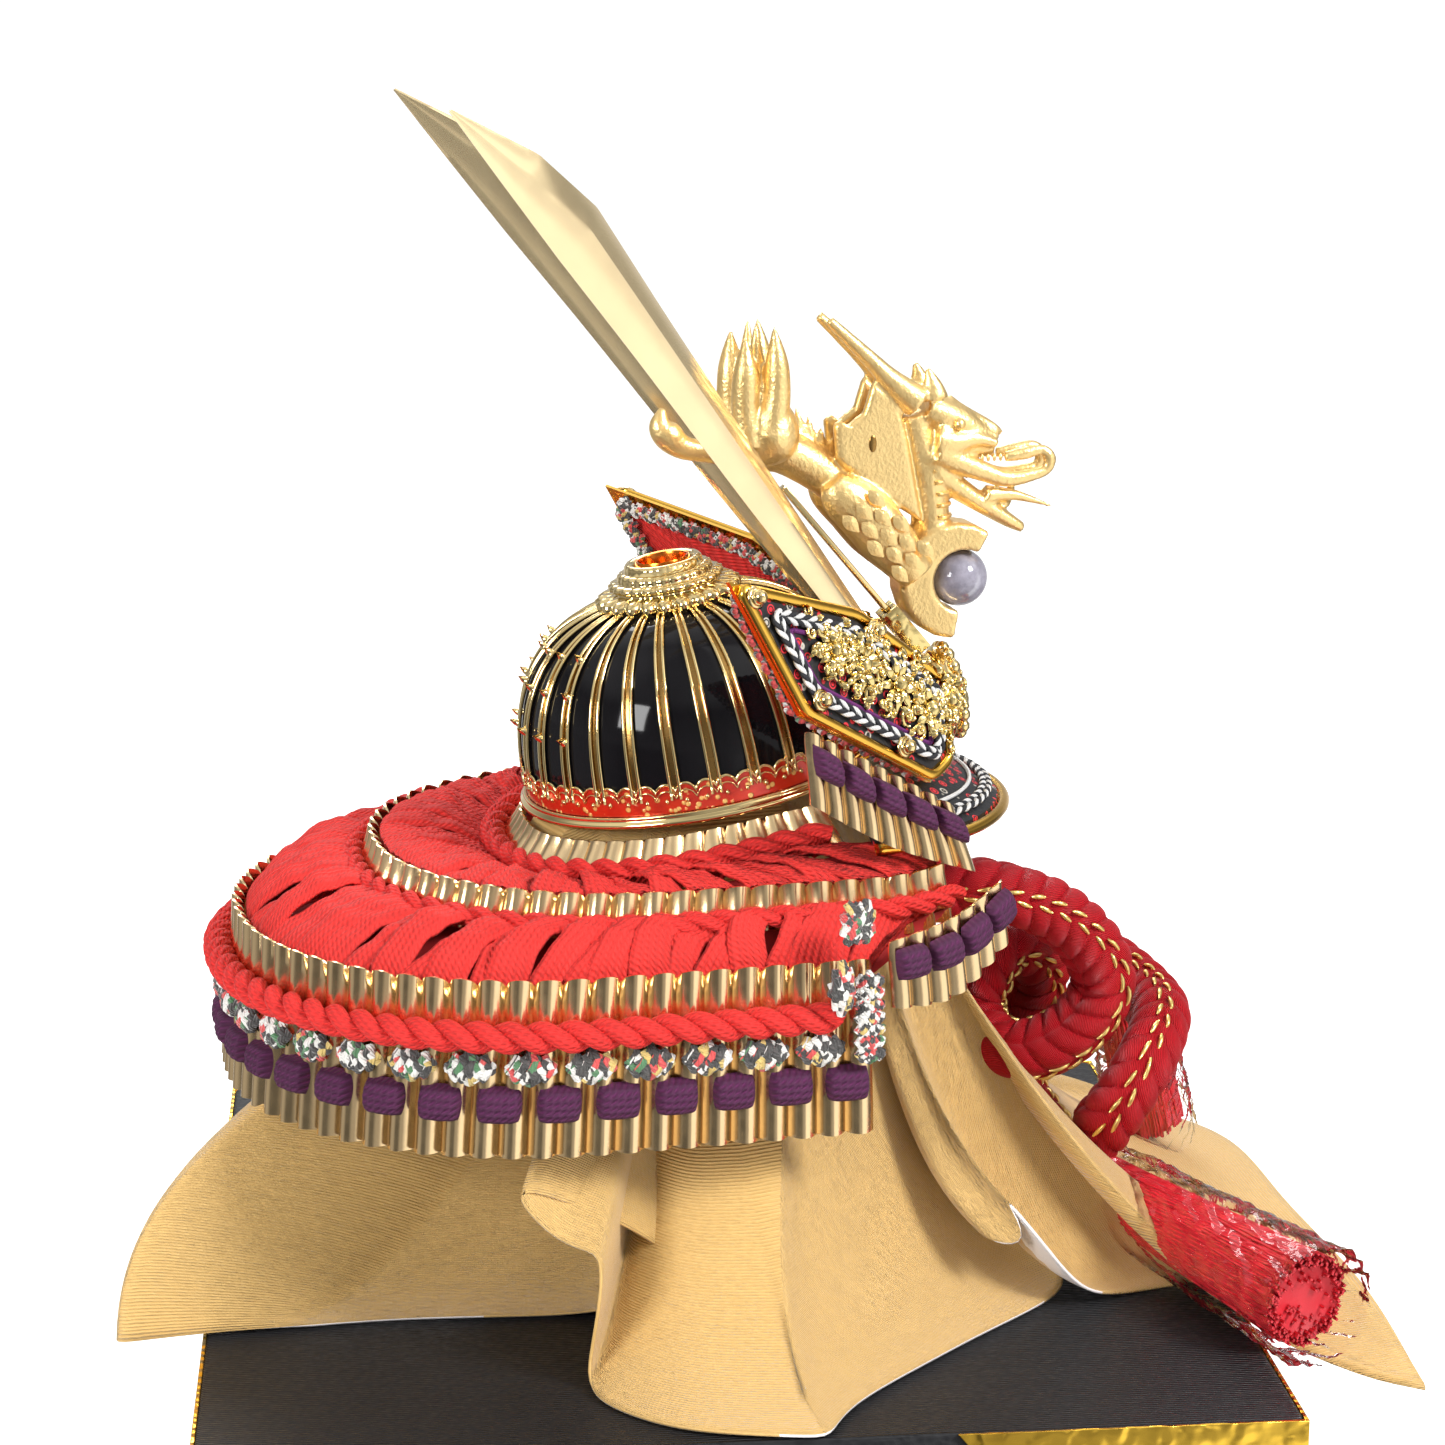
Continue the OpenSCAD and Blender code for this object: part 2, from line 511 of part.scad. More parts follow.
// The crest's casting, in the helmet's frame with heights above the lid: body and tail from the
// ball's ring back and up, two raised hind legs, neck, head, forelegs and two swept-back horns.
orb_c = [0, -49, box_h + 122];
function above_lid(p) = [for (q = p) q + [0, 0, box_h]];
module dragon() color(gold) on_helmet() difference() {
    union() {
        translate(orb_c) rotate([0, 90, 0]) cylinder(h = 5.4, r = 8, center = true);
        limb(above_lid([[0, -43, 125.5], [0, -36, 131], [0, -28, 138.5], [0, -17, 145], [0, -8, 148],
            [0, 0.7, 148.7], [0, 7, 152.5]]), [5, 6, 7, 5.5, 4.5, 2.6, 1.2]);
        for (s = [-1, 1]) {
            limb(above_lid([[s * 3, -10, 149], [s * 5, -9.5, 158], [s * 5.5, -10, 164],
                [s * 6, -12, 169]]), [5, 4.2, 4.6, 2]);
            limb(above_lid([[s * 3, -40, 147], [s * 6, -48, 141.5], [s * 7, -60, 134.5],
                [s * 7, -66.5, 136.5]]), [4, 2.8, 2.2, 0.9]);
            limb(above_lid([[s * 3, -40, 157], [s * 5, -33, 162], [s * 6, -24.3, 169]]),
                [2.4, 1.8, 0.8]);
        }
        limb(above_lid([[0, -26, 139], [0, -29.5, 149], [0, -37, 154.5], [0, -46, 154],
            [0, -58, 147], [0, -67.5, 142]]), [6, 6, 6, 7, 4.5, 2]);
    }
    translate(orb_c) sphere(r = orb_d / 2 + 0.1);
    translate(pin_mouth) along(pin_way) translate([-1.65, -0.65, 0]) cube([3.3, 1.3, pin_l + 0.3]);
}
module dragon_orb() color("silver") on_helmet() translate(orb_c) sphere(r = orb_d / 2);
pin_l = 30;       // how far the pin goes into the dragon's underside, from the socket's mouth
module dragon_pin() color(gold) on_helmet() translate(pin_mouth) along(pin_way)
    translate([-1.5, -0.5, -socket_l + 0.3]) cube([3, 1, socket_l + pin_l - 0.3]);

// ---- cord ---------------------------------------------------------------------------

// Routes as heights above the lid, in the helmet's frame.
cord_right_route = [[-22, -40, 70], [-24, -48, 70], [-24, -59, 66], [-24, -67, 59], [-24, -70, 51],
    [-24, -66, 44], [-23, -59, 39.5], [-20, -52, 39], [-14, -49, 45], [-12, -54, 55],
    [-9, -61, 54], [-5, -64, 46], [-4, -60, 37], [-8, -58, 29], [-10, -63, 20], [-13, -70, 11]];
cord_left_route = [[14, -40, 66], [17, -54, 60], [13, -68, 53], [4, -79, 47], [-8, -84, 43],
    [-19, -83, 41], [-27, -77, 36], [-28, -72, 29], [-25, -69, 23]];
function smooth(p, n) = [for (i = [0 : len(p) - 2], j = [0 : n - 1]) let (t = j / n,
    a = p[max(i - 1, 0)], b = p[i], c = p[i + 1], d = p[min(i + 2, len(p) - 1)])
    0.5 * (2 * b + (c - a) * t + (2 * a - 5 * b + 4 * c - d) * t * t
        + (3 * b - a - 3 * c + d) * t * t * t)];
module cord_right() color(red) on_helmet() tube(above_lid(smooth(cord_right_route, 3)), cord_d / 2);
module cord_left() color(red) on_helmet() tube(above_lid(smooth(cord_left_route, 3)), cord_d / 2);

// Each tassel: a bound head and a brush that widens, inside a clear film sleeve.
tassel_right_ends = [[-17, -72, 9.6], [-78, -88, 13]];
tassel_left_ends = [[6, -86, 37], [14, -94, 10]];
module tassel_solid(ends, r0, r1, from, to) let (l = norm(ends[1] - ends[0]))
    translate([0, 0, box_h]) translate(ends[0]) along(unit(ends[1] - ends[0])) translate([0, 0, from])
        cylinder(h = l - from + to, r1 = r0, r2 = r1);
module tassel(ends, r1) color(red) on_helmet() tassel_solid(ends, 6, r1, 0, 0);
module tassel_film(ends, r1) color("white", 0.4) on_helmet() difference() {
    tassel_solid(ends, 7, r1 + 1, 0, 4);
    tassel_solid(ends, 6.4, r1 + 0.4, -0.01, 5);
}

// ---- nodes --------------------------------------------------------------------------

box_base();
box_lid();
lid_corner_fittings();
stand_base();
stand_post();
stand_head();
display_cloth();
helmet_bowl();
bowl_ribs();
bowl_band();
bowl_rim();
crown_plate();
crown_cup();
helmet_lining();
visor_plate();
visor_rim();
visor_braid();
neck_lame_top();
neck_lame_middle();
neck_lame_bottom();
braid_top();
braid_middle();
braid_bottom();
lacing_upper();
lacing_lower();
bead_lacing();
purple_lacing();
edge_lacing();
side_plate(-1);  // side_plate_right
side_plate(1);  // side_plate_left
side_leather(-1);  // side_leather_right
side_leather(1);  // side_leather_left
side_rim(-1);  // side_rim_right
side_rim(1);  // side_rim_left
side_braid(-1);  // side_braid_right
side_braid(1);  // side_braid_left
side_crest(-1);  // side_crest_right
side_crest(1);  // side_crest_left
side_rivets(-1);  // side_rivets_right
side_rivets(1);  // side_rivets_left
strip(mirrored(side_top, -1), mirrored(side_foot, -1));  // side_lame_right
strip(mirrored(side_top, 1), mirrored(side_foot, 1));  // side_lame_left
strip(mirrored(turn_top, -1), mirrored(turn_foot, -1));  // turned_lame_right
strip(mirrored(turn_top, 1), mirrored(turn_foot, 1));  // turned_lame_left
side_lacing();
turned_lacing();
crest_base();
crest_medallion();
horn(-1);  // horn_right
horn(1);  // horn_left
dragon();
dragon_orb();
dragon_pin();
cord_right();
cord_left();
tassel(tassel_right_ends, 9);  // tassel_right
tassel(tassel_left_ends, 7);  // tassel_left
tassel_film(tassel_right_ends, 9);  // film_right
tassel_film(tassel_left_ends, 7);  // film_left
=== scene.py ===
"""Looks of the miniature samurai helmet on its box: camera, cords, then each piece round the CAD frame."""
import bpy, math, random
import numpy as np
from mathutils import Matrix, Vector


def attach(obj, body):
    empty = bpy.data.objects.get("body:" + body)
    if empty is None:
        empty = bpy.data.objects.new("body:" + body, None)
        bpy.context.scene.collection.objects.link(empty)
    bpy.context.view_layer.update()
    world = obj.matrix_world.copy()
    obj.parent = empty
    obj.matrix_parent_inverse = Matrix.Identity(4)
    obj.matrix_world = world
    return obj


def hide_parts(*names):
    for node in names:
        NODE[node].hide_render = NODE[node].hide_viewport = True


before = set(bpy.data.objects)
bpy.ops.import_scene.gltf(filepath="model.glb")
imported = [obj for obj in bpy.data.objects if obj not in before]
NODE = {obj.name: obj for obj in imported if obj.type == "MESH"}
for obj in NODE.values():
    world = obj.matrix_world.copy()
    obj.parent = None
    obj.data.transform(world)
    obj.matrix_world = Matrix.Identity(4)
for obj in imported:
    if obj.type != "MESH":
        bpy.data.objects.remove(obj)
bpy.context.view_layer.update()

# ---- places: the CAD's own frames, in millimetres ---------------------------------------
BOXH = 110.0                # height of the box with its lid
HELMET_BACK = 2             # middle of the helmet, behind the box's middle
BOWL_BACK, BOWL_UP = -1, 199.5    # middle of the bowl's foot, in the helmet's frame
CLOTH_HALF = 125            # half the side of the flat cloth
TURN, LEAN = math.radians(8), math.radians(10)    # helmet on the stand, bowl on the helmet


def helmet(p):
    """Points in the helmet's frame, to metres in the row frame."""
    p = np.asarray(p, float)
    c, s = math.cos(TURN), math.sin(TURN)
    back = HELMET_BACK + p[..., 0] * s + p[..., 1] * c
    return np.stack([p[..., 0] * c - p[..., 1] * s, back, p[..., 2]], -1) / 1000


def bowl(p):
    """Points in the tilted bowl's frame, to the helmet's frame."""
    p = np.asarray(p, float)
    c, s = math.cos(LEAN), math.sin(LEAN)
    back = BOWL_BACK + p[..., 1] * c + p[..., 2] * s
    up = BOWL_UP + p[..., 2] * c - p[..., 1] * s
    return np.stack([p[..., 0], back, up], -1)


def unit(v):
    v = np.asarray(v, float)
    return v / np.maximum(np.linalg.norm(v, axis=-1, keepdims=True), 1e-9)


def lengths(p):
    return np.concatenate([[0], np.cumsum(np.linalg.norm(np.diff(p, axis=0), axis=1))])


def even(p, n):
    """The line again as n + 1 evenly spaced points."""
    p = np.asarray(p, float)
    d = lengths(p)
    s = np.linspace(0, d[-1], n + 1)
    return np.stack([np.interp(s, d, p[:, k]) for k in range(3)], -1)


def soft_line(p, n, rounds=2):
    """Evenly spaced points on the line with its corners eased."""
    q = even(p, n)
    for _ in range(rounds):
        q[1:-1] = (q[:-2] + 2 * q[1:-1] + q[2:]) / 4
    return q


def catmull(p, n):
    p = np.asarray(p, float)
    out = []
    for i in range(len(p) - 1):
        a, b, c, d = p[max(i - 1, 0)], p[i], p[i + 1], p[min(i + 2, len(p) - 1)]
        for j in range(n):
            t = j / n
            out.append(0.5 * (2 * b + (c - a) * t + (2 * a - 5 * b + 4 * c - d) * t * t
                              + (3 * b - a - 3 * c + d) * t ** 3))
    return np.array(out + [p[-1]])


def sideways(p):
    """Level normals of a line, pointing away from the U's middle."""
    d = np.gradient(p, axis=0)
    return unit(np.stack([-d[:, 1], d[:, 0], 0 * d[:, 0]], -1))


def u_line(w, b, r, f, cr, curl, z):
    half = [(-w + cr * (1 - math.cos(math.radians(a))), f - cr * math.sin(math.radians(a)), z)
            for a in range(curl, -1, -10)]
    half += [(-w + r * (1 - math.cos(math.radians(a))), b - r + r * math.sin(math.radians(a)), z)
             for a in np.arange(0, 90.1, 7.5)]
    return np.array(half + [(-x, y, z) for x, y, z in reversed(half)])


# ---- mesh making --------------------------------------------------------------------------
def mesh(name, verts, faces, mats, body, slot=None, replaces=(), uv=None, face_mat=None, smooth=True,
         metres=False, crease=None):
    v = np.asarray(verts, float)
    if not metres:
        v = helmet(v)
    me = bpy.data.meshes.new(name)
    me.from_pydata(v.tolist(), [], faces if isinstance(faces, list) else faces.tolist())
    if uv is not None:
        layer = me.uv_layers.new(name="UVMap")
        layer.data.foreach_set("uv", np.asarray(uv, np.float32).ravel())
    for m in (mats if isinstance(mats, (list, tuple)) else [mats]):
        me.materials.append(m)
    if face_mat is not None:
        me.polygons.foreach_set("material_index", np.asarray(face_mat, np.int32))
    me.polygons.foreach_set("use_smooth", [smooth] * len(me.polygons))
    me.update()
    me.validate()
    ob = bpy.data.objects.new(name, me)
    bpy.context.scene.collection.objects.link(ob)
    if crease:
        me.set_sharp_from_angle(angle=math.radians(crease))
    if body:
        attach(ob, body)
        if replaces:
            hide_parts(*([replaces] if isinstance(replaces, str) else replaces))
    return ob


def add(ob, kind, **settings):
    m = ob.modifiers.new(kind.title(), kind)
    for k, v in settings.items():
        setattr(m, k, v)
    return m


def grid_faces(n, m, close_n=False, close_m=False, start=0):
    """Faces of an n by m grid of vertices, row by row."""
    i = np.arange(n if close_n else n - 1)[:, None]
    j = np.arange(m if close_m else m - 1)[None, :]
    a = i * m + j
    b = ((i + 1) % n) * m + j
    c = ((i + 1) % n) * m + (j + 1) % m
    d = i * m + (j + 1) % m
    return (np.stack([a, b, c, d], -1).reshape(-1, 4) + start)


class Build:
    """Collects grids into one mesh, with a UV in millimetres and a material index per grid."""

    def __init__(self):
        self.v, self.f, self.uv, self.fm, self.n = [], [], [], [], 0

    def grid(self, pts, close_n=False, close_m=False, uv=None, mat=0, flip=False, caps=False):
        pts = np.asarray(pts, float)
        n, m = pts.shape[:2]
        f = grid_faces(n, m, close_n, close_m, self.n)
        if uv is None:
            d = np.linalg.norm(np.diff(pts, axis=0), axis=2).mean(1)
            e = np.linalg.norm(np.diff(pts, axis=1), axis=2).mean(0)
            s = np.concatenate([[0], np.cumsum(d)])
            t = np.concatenate([[0], np.cumsum(e)])
            if close_n:
                s = np.append(s, s[-1] + d.mean())
            if close_m:
                t = np.append(t, t[-1] + e.mean())
            uv = np.stack(np.meshgrid(s, t, indexing="ij"), -1)
        u = np.asarray(uv, float)
        corners = np.stack([u[:-1, :-1], u[1:, :-1], u[1:, 1:], u[:-1, 1:]], 2).reshape(-1, 4, 2)
        if flip:
            f, corners = f[:, ::-1], corners[:, ::-1]
        self.v.append(pts.reshape(-1, 3))
        self.uv.append(corners.reshape(-1, 2))
        self.f += f.tolist()
        self.fm += [mat] * len(f)
        if caps:
            a = [self.n + k for k in range(m)]
            b = [self.n + (n - 1) * m + k for k in range(m)]
            self.f += ([a, b[::-1]] if flip else [a[::-1], b])
            self.fm += [mat, mat]
            self.uv.append(np.zeros((2 * m, 2)))
        self.n += n * m

    def tube(self, pts, radius, sides=8, mat=0, wobble=None, up=None, caps=True, flat=1.0, shift=0.0):
        pts = np.asarray(pts, float)
        a, b = frames(pts, up)
        r = np.broadcast_to(np.asarray(radius, float), (len(pts),))
        t = np.linspace(0, 2 * math.pi, sides, endpoint=False)
        rr = r[:, None] * (wobble if wobble is not None else np.ones((len(pts), sides)))
        ring = pts[:, None] + rr[..., None] * (a[:, None] * np.cos(t)[None, :, None]
                                               + flat * b[:, None] * np.sin(t)[None, :, None])
        s = lengths(pts) + shift
        round_ = np.linspace(0, 2 * math.pi * r.mean(), sides + 1)
        self.grid(ring, close_m=True, uv=np.stack(np.meshgrid(s, round_, indexing="ij"), -1), mat=mat,
                  caps=caps)

    def make(self, name, mats, body, **more):
        return mesh(name, np.concatenate(self.v), self.f, mats, body, uv=np.concatenate(self.uv),
                    face_mat=self.fm, **more)


def frames(pts, up=None):
    """Two normals along a line, carried along it without twist, or level with the way up that is given."""
    d = unit(np.gradient(pts, axis=0))
    if up is not None:
        up = np.broadcast_to(np.asarray(up, float), d.shape)
        a = unit(np.cross(d, up))
        return a, np.cross(a, d)
    a = np.zeros_like(d)
    first = np.array([0, 0, 1.0]) if abs(d[0, 2]) < 0.9 else np.array([0, 1.0, 0])
    a[0] = unit(np.cross(d[0], first))
    for i in range(1, len(d)):
        q = a[i - 1] - d[i] * np.dot(a[i - 1], d[i])
        a[i] = unit(q)
    return a, np.cross(d, a)


# ---- materials ------------------------------------------------------------------------------
class Graph:
    def __init__(self, name, colour, rough=0.5, metal=0.0, **sockets):
        self.m = bpy.data.materials.new(name)
        self.m.use_nodes = True
        self.t = self.m.node_tree
        self.b = self.t.nodes["Principled BSDF"]
        self.b.inputs["Base Color"].default_value = (*colour, 1)
        self.b.inputs["Roughness"].default_value = rough
        self.b.inputs["Metallic"].default_value = metal
        self.m.diffuse_color = (*colour, 1)
        for k, v in sockets.items():
            self.b.inputs[k.replace("_", " ")].default_value = v
        self.co = self.node("ShaderNodeTexCoord").outputs["Object"]
        self.uv = self.node("ShaderNodeUVMap").outputs["UV"]

    def node(self, kind, ins=None, **attrs):
        n = self.t.nodes.new(kind)
        for k, v in attrs.items():
            setattr(n, k, v)
        for k, v in (ins or {}).items():
            if isinstance(v, bpy.types.NodeSocket):
                self.t.links.new(v, n.inputs[k])
            else:
                n.inputs[k].default_value = v
        return n

    def mapped(self, src=None, scale=(1, 1, 1), turn=(0, 0, 0)):
        return self.node("ShaderNodeMapping",
                         {"Vector": src or self.co, "Scale": scale, "Rotation": turn}).outputs[0]

    def noise(self, scale, detail=3, rough=0.5, src=None):
        return self.node("ShaderNodeTexNoise", {"Vector": src or self.co, "Scale": scale, "Detail": detail,
                                                "Roughness": rough}).outputs["Fac"]

    def voronoi(self, scale, src=None, feature="F1", out="Distance", random=1.0):
        return self.node("ShaderNodeTexVoronoi",
                         {"Vector": src or self.co, "Scale": scale, "Randomness": random},
                         feature=feature).outputs[out]

    def wave(self, scale, src=None, distortion=0.0, direction="X", profile="SIN", kind="BANDS"):
        ins = {"Vector": src or self.co, "Scale": scale, "Distortion": distortion}
        extra = {"bands_direction": direction} if kind == "BANDS" else {}
        return self.node("ShaderNodeTexWave", ins, wave_type=kind, wave_profile=profile,
                         **extra).outputs["Fac"]

    def math(self, op, a, b=0.0, clamp=False):
        n = self.node("ShaderNodeMath", operation=op, use_clamp=clamp)
        for k, v in ((0, a), (1, b)):
            if isinstance(v, bpy.types.NodeSocket):
                self.t.links.new(v, n.inputs[k])
            else:
                n.inputs[k].default_value = v
        return n.outputs[0]

    def ramp(self, fac, stops, hard=False):
        n = self.node("ShaderNodeValToRGB", {"Fac": fac})
        n.color_ramp.interpolation = "CONSTANT" if hard else "LINEAR"
        e = n.color_ramp.elements
        while len(e) < len(stops):
            e.new(0.5)
        for k, (p, c) in enumerate(stops):
            e[k].position = p
            e[k].color = (*c, 1) if len(c) == 3 else c
        return n.outputs["Color"]

    def mix(self, fac, a, b):
        n = self.node("ShaderNodeMix", data_type="RGBA")
        for k, v in ((0, fac), (6, a), (7, b)):
            if isinstance(v, bpy.types.NodeSocket):
                self.t.links.new(v, n.inputs[k])
            else:
                n.inputs[k].default_value = (*v, 1) if isinstance(v, tuple) and len(v) == 3 else v
        return n.outputs[2]

    def spread(self, fac, low, high):
        """The number fac moved from 0..1 to low..high."""
        return self.node("ShaderNodeMapRange", {"Value": fac, "To Min": low, "To Max": high}).outputs[0]

    def colour(self, socket):
        self.t.links.new(socket, self.b.inputs["Base Color"])
        return self

    def rough(self, socket):
        self.t.links.new(socket, self.b.inputs["Roughness"])
        return self

    def bump(self, height, distance=0.0001, strength=1.0):
        """Adds a bump of that depth in metres on top of any bump before it."""
        ins = {"Height": height, "Distance": distance, "Strength": strength}
        if getattr(self, "last", None):
            ins["Normal"] = self.last
        self.last = self.node("ShaderNodeBump", ins).outputs[0]
        self.t.links.new(self.last, self.b.inputs["Normal"])
        return self


def shade(c, k):
    return tuple(min(1.0, x * k) for x in c)


def gilt(name, colour, rough, grain=0.00003, grain_scale=900, chased=0.0, chased_scale=260, wear=0.12):
    g = Graph(name, colour, rough, 1.0)
    n = g.noise(90, 4)
    g.colour(g.mix(n, shade(colour, 1 - wear), shade(colour, 1 + wear)))
    g.rough(g.spread(g.noise(420, 3), rough * 0.75, rough * 1.35))
    if grain:
        g.bump(g.noise(grain_scale, 2), grain)
    if chased:
        g.bump(g.voronoi(chased_scale, feature="SMOOTH_F1"), chased)
        g.bump(g.wave(chased_scale * 0.5, distortion=9.0), chased * 0.7)
    return g.m


def knit(name, colour, across=1.25, along=1.1, deep=0.00045, dark=0.42, sheen=0.08, rough=0.8):
    """Plaited or knitted silk: stitches in rows, from a UV in millimetres, with painted shade in the grooves
    between the stitches.
    """
    g = Graph(name, colour, rough, 0.0, Sheen_Weight=sheen, Sheen_Roughness=0.4,
              Sheen_Tint=(*shade(colour, 1.3), 1))
    k = 0.628
    rows = g.wave(1.0, g.mapped(g.uv, (k / along, k / across, 1)), 0.0, "DIAGONAL")
    cols = g.wave(1.0, g.mapped(g.uv, (0.2, 0.314 / across, 1)), 0.25, "Y")
    h = g.math("MULTIPLY", g.spread(rows, 0.45, 1.0), g.spread(cols, 0.35, 1.0))
    var = g.noise(160, 3)
    # painted shade: the colour darkens towards the grooves between the stitches
    base = g.mix(h, shade(colour, dark), shade(colour, 1.08))
    g.colour(g.mix(g.math("MULTIPLY", var, 0.3), base, shade(colour, 1.3)))
    g.bump(h, deep)
    g.bump(g.noise(2600, 2), 0.00004)
    return g.m


gold_horn = gilt("gold_horn", (0.93, 0.72, 0.42), 0.17, 0.00001, 300)
gold_horn.node_tree.nodes["Principled BSDF"].inputs["Metallic"].default_value = 0.85
gold_lame = gilt("gold_lame", (0.93, 0.66, 0.36), 0.2, 0.00002, 700)
gold_cast = gilt("gold_cast", (0.88, 0.63, 0.27), 0.34, 0.00012, 1500, wear=0.12)
gold_cast.node_tree.nodes["Principled BSDF"].inputs["Metallic"].default_value = 0.88
gold_chased = gilt("gold_chased", (0.87, 0.67, 0.28), 0.17, 0.00003, 900, 0.0002, 420)
gold_rim = gilt("gold_rim", (0.87, 0.50, 0.08), 0.17, 0.00002, 500)
gold_bright = gilt("gold_bright", (0.90, 0.69, 0.33), 0.1, 0.00001, 400)
red_knit = knit("red_knit", (0.74, 0.022, 0.016))
red_braid = knit("red_braid", (0.70, 0.016, 0.012), 1.1, 0.95)
purple_knit = knit("purple_knit", (0.075, 0.004, 0.052), 1.2, 1.2, sheen=0.02, dark=0.3)


def silk_cord():
    g = Graph("silk_cord", (0.5, 0.006, 0.02), 0.45, 0.0, Specular_IOR_Level=0.3)
    fine = g.wave(1.0, g.mapped(g.uv, (1.2, 1.9, 1)), 0.4, "DIAGONAL")
    # partly random tone, partly painted shade: the plait's grooves darker and its ridges lighter
    g.colour(g.mix(g.math("MULTIPLY", g.noise(220, 3), fine), (0.38, 0.002, 0.007), (0.80, 0.012, 0.026)))
    g.bump(fine, 0.0003)
    g.bump(g.noise(3000, 2), 0.00003)
    return g.m


def chequer(name="chequer_thread"):
    """Thread of four colours in short lengths, from a UV in millimetres."""
    g = Graph(name, (0.8, 0.8, 0.8), 0.65, 0.0, Sheen_Weight=0.3)
    cell = g.node("ShaderNodeTexWhiteNoise", {"Vector": g.node("ShaderNodeVectorMath", {
        0: g.mapped(g.uv, (0.42, 0.2, 1))}, operation="FLOOR").outputs[0]},
                  noise_dimensions="2D").outputs["Value"]
    c = g.ramp(cell, [(0, (0.004, 0.004, 0.005)), (0.47, (0.72, 0.70, 0.66)), (0.74, (0.6, 0.02, 0.02)),
                      (0.89, (0.03, 0.17, 0.05)), (0.95, (0.6, 0.42, 0.1))], True)
    g.colour(g.mix(g.math("MULTIPLY", g.noise(900, 2), 0.3), c, (0.3, 0.28, 0.26)))
    g.bump(g.wave(1.0, g.mapped(g.uv, (0.8, 0.8, 1)), 0, "DIAGONAL"), 0.00015)
    return g.m


def plain(name, colour, rough, var=0.12, bump=0.00003, scale=900, **sockets):
    g = Graph(name, colour, rough, 0.0, **sockets)
    g.colour(g.mix(g.noise(120, 4), shade(colour, 1 - var), shade(colour, 1 + var)))
    g.rough(g.spread(g.noise(300, 3), rough * 0.8, min(1, rough * 1.25)))
    g.bump(g.noise(scale, 3), bump)
    return g.m


gold_thread = plain("gold_thread", (0.85, 0.6, 0.2), 0.3, 0.2, 0.00005, 2000, Metallic=0.9)
silk = silk_cord()
brush = knit("tassel_brush", (0.78, 0.012, 0.028), 0.7, 6.0, deep=0.0002, dark=0.35, sheen=0.0, rough=0.6)
multi = chequer()


def film_material():
    m = bpy.data.materials.new("clear_film")
    m.use_nodes = True
    t = m.node_tree
    t.nodes.clear()
    out = t.nodes.new("ShaderNodeOutputMaterial")
    mix = t.nodes.new("ShaderNodeMixShader")
    clear = t.nodes.new("ShaderNodeBsdfTransparent")
    gloss = t.nodes.new("ShaderNodeBsdfGlossy")
    gloss.inputs["Roughness"].default_value = 0.12
    clear.inputs[0].default_value = (1, 0.99, 0.99, 1)
    lw = t.nodes.new("ShaderNodeLayerWeight")
    lw.inputs[0].default_value = 0.14
    bump = t.nodes.new("ShaderNodeBump")
    co = t.nodes.new("ShaderNodeTexCoord")
    no = t.nodes.new("ShaderNodeTexNoise")
    no.inputs["Scale"].default_value = 260
    t.links.new(co.outputs["Object"], no.inputs["Vector"])
    t.links.new(no.outputs[0], bump.inputs["Height"])
    bump.inputs["Distance"].default_value = 0.0009
    t.links.new(bump.outputs[0], gloss.inputs["Normal"])
    t.links.new(bump.outputs[0], lw.inputs["Normal"])
    add_ = t.nodes.new("ShaderNodeMath")
    add_.operation = "ADD"
    add_.inputs[1].default_value = 0.05
    t.links.new(lw.outputs["Fresnel"], add_.inputs[0])
    t.links.new(add_.outputs[0], mix.inputs[0])
    t.links.new(clear.outputs[0], mix.inputs[1])
    t.links.new(gloss.outputs[0], mix.inputs[2])
    t.links.new(mix.outputs[0], out.inputs[0])
    m.diffuse_color = (0.95, 0.95, 0.95, 0.3)
    return m


film = film_material()

# ---- camera -----------------------------------------------------------------------------------
cam = bpy.data.objects.new("camera", bpy.data.cameras.new("camera"))
bpy.context.scene.collection.objects.link(cam)
look = Vector((0.9683, -0.0926, -0.2318)).normalized()
cam.location = (-0.6107, 0.0553, 0.3537)
cam.rotation_mode = "QUATERNION"
cam.rotation_quaternion = look.to_track_quat("-Z", "Y")
cam.data.sensor_width = 36
cam.data.lens = 87.63
cam.data.clip_start = 0.01
bpy.context.scene.camera = cam

# ---- cords --------------------------------------------------------------------------------------
right_route = [[-22, -40, 70], [-24, -48, 70], [-24, -59, 66], [-24, -67, 59], [-24, -70, 51],
               [-24, -66, 44], [-23, -59, 39.5], [-20, -52, 39], [-14, -49, 45], [-12, -54, 55],
               [-9, -61, 54], [-5, -64, 46], [-4, -60, 37], [-8, -58, 29], [-10, -63, 20], [-13, -70, 11]]
left_route = [[14, -40, 66], [17, -54, 60], [13, -68, 53], [4, -79, 47], [-8, -84, 43],
    [-19, -83, 41], [-27, -77, 36], [-28, -72, 29], [-25, -69, 23]]


